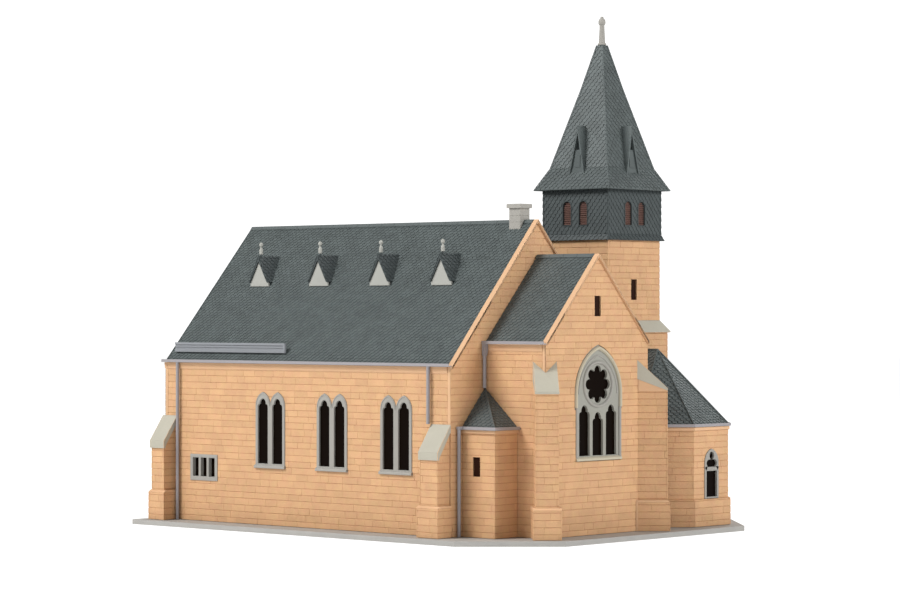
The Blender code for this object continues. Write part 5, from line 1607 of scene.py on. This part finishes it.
def light_outline(centre, half, foot, top, neck):
    """A lancet that narrows over two low shoulders to a small pointed lobe."""
    shoulder = top - neck
    drop = half * 0.38
    lobe = half * 0.60
    right = [(half, shoulder - drop)]
    for k in range(1, 4):
        turn = math.pi / 2 * k / 3
        inwards = (half - lobe) * 0.85 * (1 - math.cos(turn))
        right.append((half - inwards, shoulder - drop + drop * math.sin(turn)))
    right.append((lobe, shoulder + 0.05))
    head = arch_head(0.0, lobe, shoulder + neck * 0.15, top, 5)
    left = [(-a, b) for a, b in reversed(right)]
    points = [(-half, foot), (half, foot)] + right + head + left
    return tidy([(centre + a, b) for a, b in points])


LIGHT_HALF = 3.6
LIGHT_SPACING = 10.6
LIGHT_FOOT = 32.3
LIGHT_TOP = 65.8
LIGHT_NECK = 2.9
LIGHT_DEPTH = 1.0


def add_twin_window(frames, panes, face, centre):
    """Two lights in one frame, with a hood over each, a sill and a sheet of panes."""
    spots = [centre + k * LIGHT_SPACING / 2 for k in (-1, 1)]
    lights = [light_outline(spot, LIGHT_HALF, LIGHT_FOOT, LIGHT_TOP, LIGHT_NECK) for spot in spots]
    outer = twin_outline(centre)
    frames.merge(curve_panel(face, outer, lights, FRAME_PROUD, WALL + FRAME_PROUD, 0.28))
    wide = WINDOW_HALF - 0.8
    pane = rectangle(centre - wide, centre + wide, WINDOW_FOOT + 0.8, LIGHT_TOP + 0.6)
    depth = FRAME_PROUD - LIGHT_DEPTH
    face.prism(panes, pane, depth - 0.9, depth)
    for k in (-1, 1):
        spot = centre + k * WINDOW_HALF / 2
        path = arch_head(spot, WINDOW_HALF / 2 - 0.65, WINDOW_SPRING, WINDOW_TOP - 0.7, 10)
        sweep(frames, face, path, 0.42, FRAME_PROUD - 0.1, FRAME_PROUD + 0.22)
    reach = WINDOW_HALF + 0.4
    add_sill(frames, face, centre - reach, centre + reach, WINDOW_FOOT - 0.2, LIGHT_FOOT - 0.3,
             FRAME_PROUD + 0.8)


def add_vent(frames, panes, face, centre):
    """A small window of three square lights near the west end."""
    lights = []
    for k in (-1, 0, 1):
        spot = centre + k * VENT_LIGHT_SPACING
        lights.append(rectangle(spot - VENT_LIGHT_HALF, spot + VENT_LIGHT_HALF,
                                VENT_LIGHT_FOOT, VENT_LIGHT_TOP))
    outer = rectangle(centre - VENT_HALF, centre + VENT_HALF, VENT_FOOT, VENT_TOP)
    frames.merge(curve_panel(face, outer, lights, FRAME_PROUD, WALL + FRAME_PROUD, 0.2))
    pane = rectangle(centre - VENT_HALF + 0.6, centre + VENT_HALF - 0.6, VENT_FOOT + 0.6, VENT_TOP - 0.6)
    face.prism(panes, pane, -WALL - 0.6, -WALL + 0.1)


def make_side_windows(label, side, windows):
    face = SOUTH if side < 0 else NORTH
    frames, panes = Solid(), Solid()
    for x in windows:
        add_twin_window(frames, panes, face, x * -side)
    add_vent(frames, panes, face, VENT_X * -side)
    add_piece(f"nave_{label}_window_frames", frames, (FRAME,), (f"nave_{label}_windows",))
    # The panes are near black: painted shade of the inside
    add_piece(f"nave_{label}_window_panes", panes, (SHADE_PANE,))


def sweep(solid, face, path, wide, low, high, kind=0, closed=False):
    """A flat-backed bar with a rounded front, along a path on a face."""
    count = len(path)
    cheek = high - 0.35 * (high - low)
    section = ((-0.5, low), (-0.5, cheek), (-0.2, high), (0.2, high), (0.5, cheek), (0.5, low))
    rings = []
    for i, (a, b) in enumerate(path):
        before = path[i - 1] if (i > 0 or closed) else path[i]
        after = path[(i + 1) % count] if (i < count - 1 or closed) else path[i]
        da, db = after[0] - before[0], after[1] - before[1]
        length = math.hypot(da, db)
        na, nb = -db / length, da / length
        rings.append([face.at(a + na * across * wide, b + nb * across * wide, h) for across, h in section])
    if closed:
        solid.loop(rings, kind)
    else:
        solid.rings(rings, kind)


def add_sill(solid, face, low_a, high_a, low_b, high_b, proud, kind=0):
    """A projecting sill with a sloping top."""
    section = [(-0.3, low_b + 0.1), (proud - 0.2, low_b + 0.1), (proud, low_b + 0.3), (proud, high_b - 0.9),
               (proud - 0.15, high_b - 0.7), (-0.3, high_b)]
    rings = [[face.at(a, b - drop, h - drop) for h, b in section]
             for a, drop in ((low_a, 0.1), (low_a + 0.15, 0.0), (high_a - 0.15, 0.0), (high_a, 0.1))]
    solid.rings(rings, kind)


ROSE_Z = 74.8
ROSE_LOBE = 2.55
ROSE_LOBE_OUT = 6.75
RING_OUT = 11.6
RING_WIDE = 1.5
GREAT_CREAM, GREAT_GREY = 1, 2


def rose_outline(centre, z):
    """Eight round lobes about a centre, with blunt cusps between them."""
    points = []
    for lobe in range(8):
        middle = math.pi / 4 * lobe
        for k in range(-4, 5):
            turn = middle + math.radians(24.0) * k
            a = ROSE_LOBE_OUT * math.cos(middle) + ROSE_LOBE * math.cos(turn)
            b = ROSE_LOBE_OUT * math.sin(middle) + ROSE_LOBE * math.sin(turn)
            points.append((centre + a, z + b))
    return points


def add_great_rolls(frames, face, centre, lift):
    """The cream hood, the two jambs, the ring round the rose and the arch above it."""
    hood_half, step = GREAT_HOOD_HALF - 1.1, GREAT_STEP + lift
    hood = arch_head(centre, hood_half, GREAT_SPRING + lift, GREAT_TOP + lift - 1.5, 14)
    path = [(centre + hood_half, step + 0.9)] + hood + [(centre - hood_half, step + 0.9)]
    sweep(frames, face, path, 1.8, -0.9, 0.80, GREAT_CREAM)
    for side in (-1, 1):
        edge = centre + side * (GREAT_HALF - 0.75)
        jamb = [(edge, GREAT_FOOT + lift + 1.0), (edge, step + 1.0)]
        sweep(frames, face, jamb, 1.5, -0.9, 0.60, GREAT_GREY)
    ring = circle(centre, ROSE_Z + lift, RING_OUT - RING_WIDE / 2, 40)
    sweep(frames, face, ring, RING_WIDE, -0.9, 0.35, GREAT_GREY, closed=True)
    arch = arch_head(centre, GREAT_HOOD_HALF - 3.4, GREAT_SPRING + lift, GREAT_TOP + lift - 5.2, 12)
    sweep(frames, face, arch, 0.8, -0.8, -0.05, GREAT_GREY)


def make_great_window(label, face, centre, lift, slit_lift, node):
    """Three lights under a rose in one field, with rolls, a sill, panes and the slit above."""
    frames, panes = Solid(), Solid()
    holes = [rose_outline(centre, ROSE_Z + lift)]
    for k, top in ((-1, GREAT_LIGHT_TOP), (0, GREAT_MIDDLE_TOP), (1, GREAT_LIGHT_TOP)):
        holes.append(light_outline(centre + k * GREAT_LIGHT_SPACING, GREAT_LIGHT_HALF,
                                   GREAT_LIGHT_FOOT + lift, top + lift, GREAT_LIGHT_NECK))
    outer = great_outline(centre, lift)
    frames.merge(curve_panel(face, outer, holes, GREAT_FIELD, WALL + GREAT_FIELD, 0.25))
    add_great_rolls(frames, face, centre, lift)
    reach = GREAT_HALF + 0.1
    add_sill(frames, face, centre - reach, centre + reach, GREAT_FOOT + lift, GREAT_SILL_TOP + lift, 0.8,
             GREAT_CREAM)
    add_piece(f"{label}_window_tracery", frames, (FIELD, CREAM, FRAME), (node,))
    back = -WALL - 0.15
    pane = rectangle(centre - GREAT_PANE_HALF, centre + GREAT_PANE_HALF,
                     GREAT_PANE_FOOT + lift, GREAT_PANE_TOP + lift)
    face.prism(panes, pane, back, back + 0.35)
    slit = slit_outline(0.0, SLIT_FOOT + slit_lift, SLIT_TOP + slit_lift, -SLIT_GAP)
    face.prism(panes, slit, back - 0.3, SLIT_FRONT, 1)
    # The panes and the slit plug are near black: painted shade
    add_piece(f"{label}_window_panes", panes, (SHADE_PANE, SLIT_SHADE))


def make_chapel_window():
    face = wall_face(CHAPEL_X + CHAPEL_HALF, 0.0, 1, 0)
    frames, panes = Solid(), Solid()
    centre = CHAPEL_Y
    lower = rectangle(centre - CHAPEL_LIGHT_HALF, centre + CHAPEL_LIGHT_HALF, CHAPEL_LIGHT_FOOT,
                      CHAPEL_BAR_LOW)
    holes = [lower, trefoil_outline(centre)]
    outer = chapel_window_hole(centre, 0.0)
    frames.merge(curve_panel(face, outer, holes, FRAME_PROUD, WALL + FRAME_PROUD, 0.22))
    bar = (CHAPEL_BAR_LOW + CHAPEL_BAR_HIGH) / 2
    path = [(centre - CHAPEL_BAR_HALF, bar), (centre + CHAPEL_BAR_HALF, bar)]
    sweep(frames, face, path, 1.5, -1.0, FRAME_PROUD + 0.15)
    add_piece("chapel_window_tracery", frames, (FRAME,), ("chapel_window",))
    face.prism(panes, chapel_window_hole(centre, -0.6), -1.6, -0.8)
    # Near black panes: painted shade of the inside
    add_piece("chapel_window_panes", panes, (SHADE_PANE,))


def trefoil_outline(centre):
    """Two wide lobes on a flat foot below a round one."""
    foot = [(centre - CHAPEL_BAR_HALF, CHAPEL_BAR_HIGH), (centre + CHAPEL_BAR_HALF, CHAPEL_BAR_HIGH)]
    right, top = [], []
    for k in range(7):
        turn = math.radians(-60.0 + 30.0 * k)
        right.append((centre + TREFOIL_SIDE + 2.1 * math.cos(turn), TREFOIL_LOW + 1.9 * math.sin(turn)))
    for k in range(9):
        turn = math.radians(-50.0 + 35.0 * k)
        top.append((centre + 1.9 * math.cos(turn), TREFOIL_HIGH + 2.0 * math.sin(turn)))
    left = [(2 * centre - a, b) for a, b in reversed(right)]
    return foot + right + top + left


def make_slit_panes():
    """Dark plugs in the tower's and the turret's slits, their near black brown painted shade."""
    tower, turret = Solid(), Solid()
    for turn in range(4):
        tower_face(turn, TOWER_HALF).prism(tower, tower_slit(0.0, -SLIT_GAP), -WALL - 0.5, SLIT_FRONT)
    add_piece("tower_slit_shade_plugs", tower, (SLIT_SHADE,), ("tower_lining",))
    outline = slit_outline(TURRET_SLIT_X, TURRET_SLIT_FOOT, TURRET_SLIT_TOP, -SLIT_GAP)
    wall_face(0.0, TURRET_SOUTH, 0, -1).prism(turret, outline, -WALL - 0.5, SLIT_FRONT)
    add_piece("turret_slit_shade_plug", turret, (SLIT_SHADE,), ("turret_pane",))


def make_west_door():
    """Boarded door with two strap hinges each side of its middle joint."""
    face = WEST
    solid, surround = Solid(), Solid()
    face.prism(solid, pointed(0.0, DOOR_HALF - 0.2, FOOT, DOOR_SPRING, DOOR_TOP - 0.2), -1.6, -0.9)
    inside = pointed(0.0, DOOR_HALF - 0.4, FOOT, DOOR_SPRING, DOOR_TOP - 0.5)
    wide = (DOOR_HALF - 0.3) * 2 / DOOR_BOARDS
    for k in range(DOOR_BOARDS):
        low = -DOOR_HALF + 0.3 + k * wide
        gap = 0.25 if k == DOOR_BOARDS // 2 else 0.08
        board = clip(rectangle(low + gap, low + wide - 0.08, FOOT + 0.2, DOOR_TOP), inside)
        face.prism(solid, board, -1.2, -0.55)
    for z in (8.0, 24.0):
        for side in (-1, 1):
            start, end = sorted((side * 1.6, side * (DOOR_HALF - 1.6)))
            face.prism(solid, rectangle(start, end, z - 0.5, z + 0.5), -0.7, -0.3, 1)
    face.prism(solid, circle(1.6, 16.0, 0.6, 14), -0.7, -0.1, 1)
    add_piece("west_door_boards", solid, (LOUVRE, ZINC), ("west_door",))
    reach = DOOR_HALF + 0.7
    path = [(reach, FOOT)] + arch_head(0.0, reach, DOOR_SPRING, DOOR_TOP + 0.9, 12) + [(-reach, FOOT)]
    sweep(surround, face, path, 1.6, -0.4, 0.5)
    add_piece("west_door_surround", surround, (FRAME,))


# CAD nodes that keep their own shape

def soften(node, width, material):
    """A CAD node shown as it is, with softened edges and a material."""
    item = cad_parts[node]
    item.data.materials.clear()
    item.data.materials.append(material)
    modifier = item.modifiers.new("soft_edges", "BEVEL")
    modifier.width = width * MM
    modifier.segments = 2
    modifier.limit_method = "ANGLE"
    modifier.angle_limit = math.radians(40)


def finish_kept_nodes():
    soften("base_plate", 0.35, PLATE)
    for node in ("nave_gutter_south", "nave_gutter_north", "chancel_gutter_south", "chancel_gutter_north",
                 "turret_gutter", "chapel_gutter"):
        soften(node, 0.12, ZINC)


# Studio: the camera in millimetres of the building frame, lights and floor in metres of the row frame

CAMERA_YAW = 42.3
CAMERA_PITCH = -0.19
CAMERA_DISTANCE = 1518.6
CAMERA_TARGET = Vector((-32.4, -29.5, 116.5))
FOCAL_PIXELS = 3020.7
IMAGE_WIDE = 900.0
SENSOR = 36.0
LIGHT_TARGET = Vector((0.02, -0.02, 0.10))


def look_from(item, target, azimuth, elevation, distance):
    """Places an object at a distance from a target and turns it to face the target."""
    a, e = math.radians(azimuth), math.radians(elevation)
    way = Vector((math.sin(a) * math.cos(e), -math.cos(a) * math.cos(e), math.sin(e)))
    item.location = target + way * distance
    item.rotation_euler = (-way).to_track_quat("-Z", "Y").to_euler()


def make_camera():
    data = bpy.data.cameras.new("studio_camera")
    data.sensor_width = SENSOR
    data.lens = FOCAL_PIXELS * SENSOR / IMAGE_WIDE
    data.clip_start, data.clip_end = 0.05, 50.0
    camera = add_object("studio_camera", data)
    look_from(camera, (CAMERA_TARGET + BASE) * MM, CAMERA_YAW, CAMERA_PITCH, CAMERA_DISTANCE * MM)
    bpy.context.scene.camera = camera


def make_light(name, azimuth, elevation, distance, size, power):
    data = bpy.data.lights.new(name, "AREA")
    data.shape = "DISK"
    data.size = size
    data.energy = power
    look_from(add_object(name, data), LIGHT_TARGET, azimuth, elevation, distance)


def make_floor():
    bpy.ops.mesh.primitive_circle_add(vertices=96, radius=6.0, fill_type="NGON")
    floor = bpy.context.object
    floor.name = "studio_floor"
    material, shader = new_material("studio_floor_white")
    shader.inputs["Base Color"].default_value = (0.22, 0.22, 0.22, 1.0)
    shader.inputs["Roughness"].default_value = 0.9
    shader.inputs["Emission Color"].default_value = (1.0, 1.0, 1.0, 1.0)
    shader.inputs["Emission Strength"].default_value = 0.94
    floor.data.materials.append(material)


def make_world():
    """White to the camera, and a dimmer even light on the building."""
    world = bpy.data.worlds.new("studio_world")
    bpy.context.scene.world = world
    world.use_nodes = True
    tree = world.node_tree
    background = tree.nodes["Background"]
    background.inputs["Color"].default_value = (1.0, 1.0, 1.0, 1.0)
    path = tree.nodes.new("ShaderNodeLightPath")
    strength = add_range(tree, path.outputs["Is Camera Ray"], 0.24, 1.2)
    tree.links.new(strength, background.inputs["Strength"])


def make_studio():
    make_floor()
    make_world()
    make_light("key", -24.0, 42.0, 1.6, 0.7, 25.5)
    make_light("side", 108.0, 26.0, 1.8, 0.8, 18.5)
    make_light("front_fill", 45.0, 20.0, 2.2, 1.4, 5.0)
    make_light("back", 200.0, 45.0, 1.8, 1.0, 12.0)
    bpy.context.scene.view_settings.view_transform = "Standard"


def main():
    make_nave_walls()
    make_nave_gables()
    make_chancel_walls()
    make_turret_walls()
    make_tower_walls()
    make_tower_offset()
    make_chapel_walls()
    make_nave_buttress("buttress_south_east", BUTTRESS_EAST_X, BUTTRESS_EAST_WIDE, -1, SEED + 60)
    make_nave_buttress("buttress_south_west", BUTTRESS_WEST_X, BUTTRESS_WEST_WIDE, -1, SEED + 70)
    make_nave_buttress("buttress_north_west", BUTTRESS_WEST_X, BUTTRESS_WEST_WIDE, 1, SEED + 80)
    make_diagonal_buttress("chancel_buttress_south", -1, SEED + 90)
    make_diagonal_buttress("chancel_buttress_north", 1, SEED + 100)
    make_roofs()
    make_turret_roof()
    make_chapel_roof()
    make_belfry()
    make_louvres()
    make_spire()
    make_finial()
    make_dormers()
    make_rail()
    make_chimney()
    make_side_windows("south", -1, WINDOW_X)
    make_side_windows("north", 1, WINDOW_X[:2])
    make_great_window("chancel", CHANCEL_FACE, GREAT_CENTRE, 0.0, 0.0, "chancel_window")
    make_great_window("west", WEST, 0.0, WEST_LIFT, WEST_SLIT_LIFT, "west_window")
    make_chapel_window()
    make_slit_panes()
    make_west_door()
    finish_kept_nodes()
    make_studio()
    make_camera()


main()
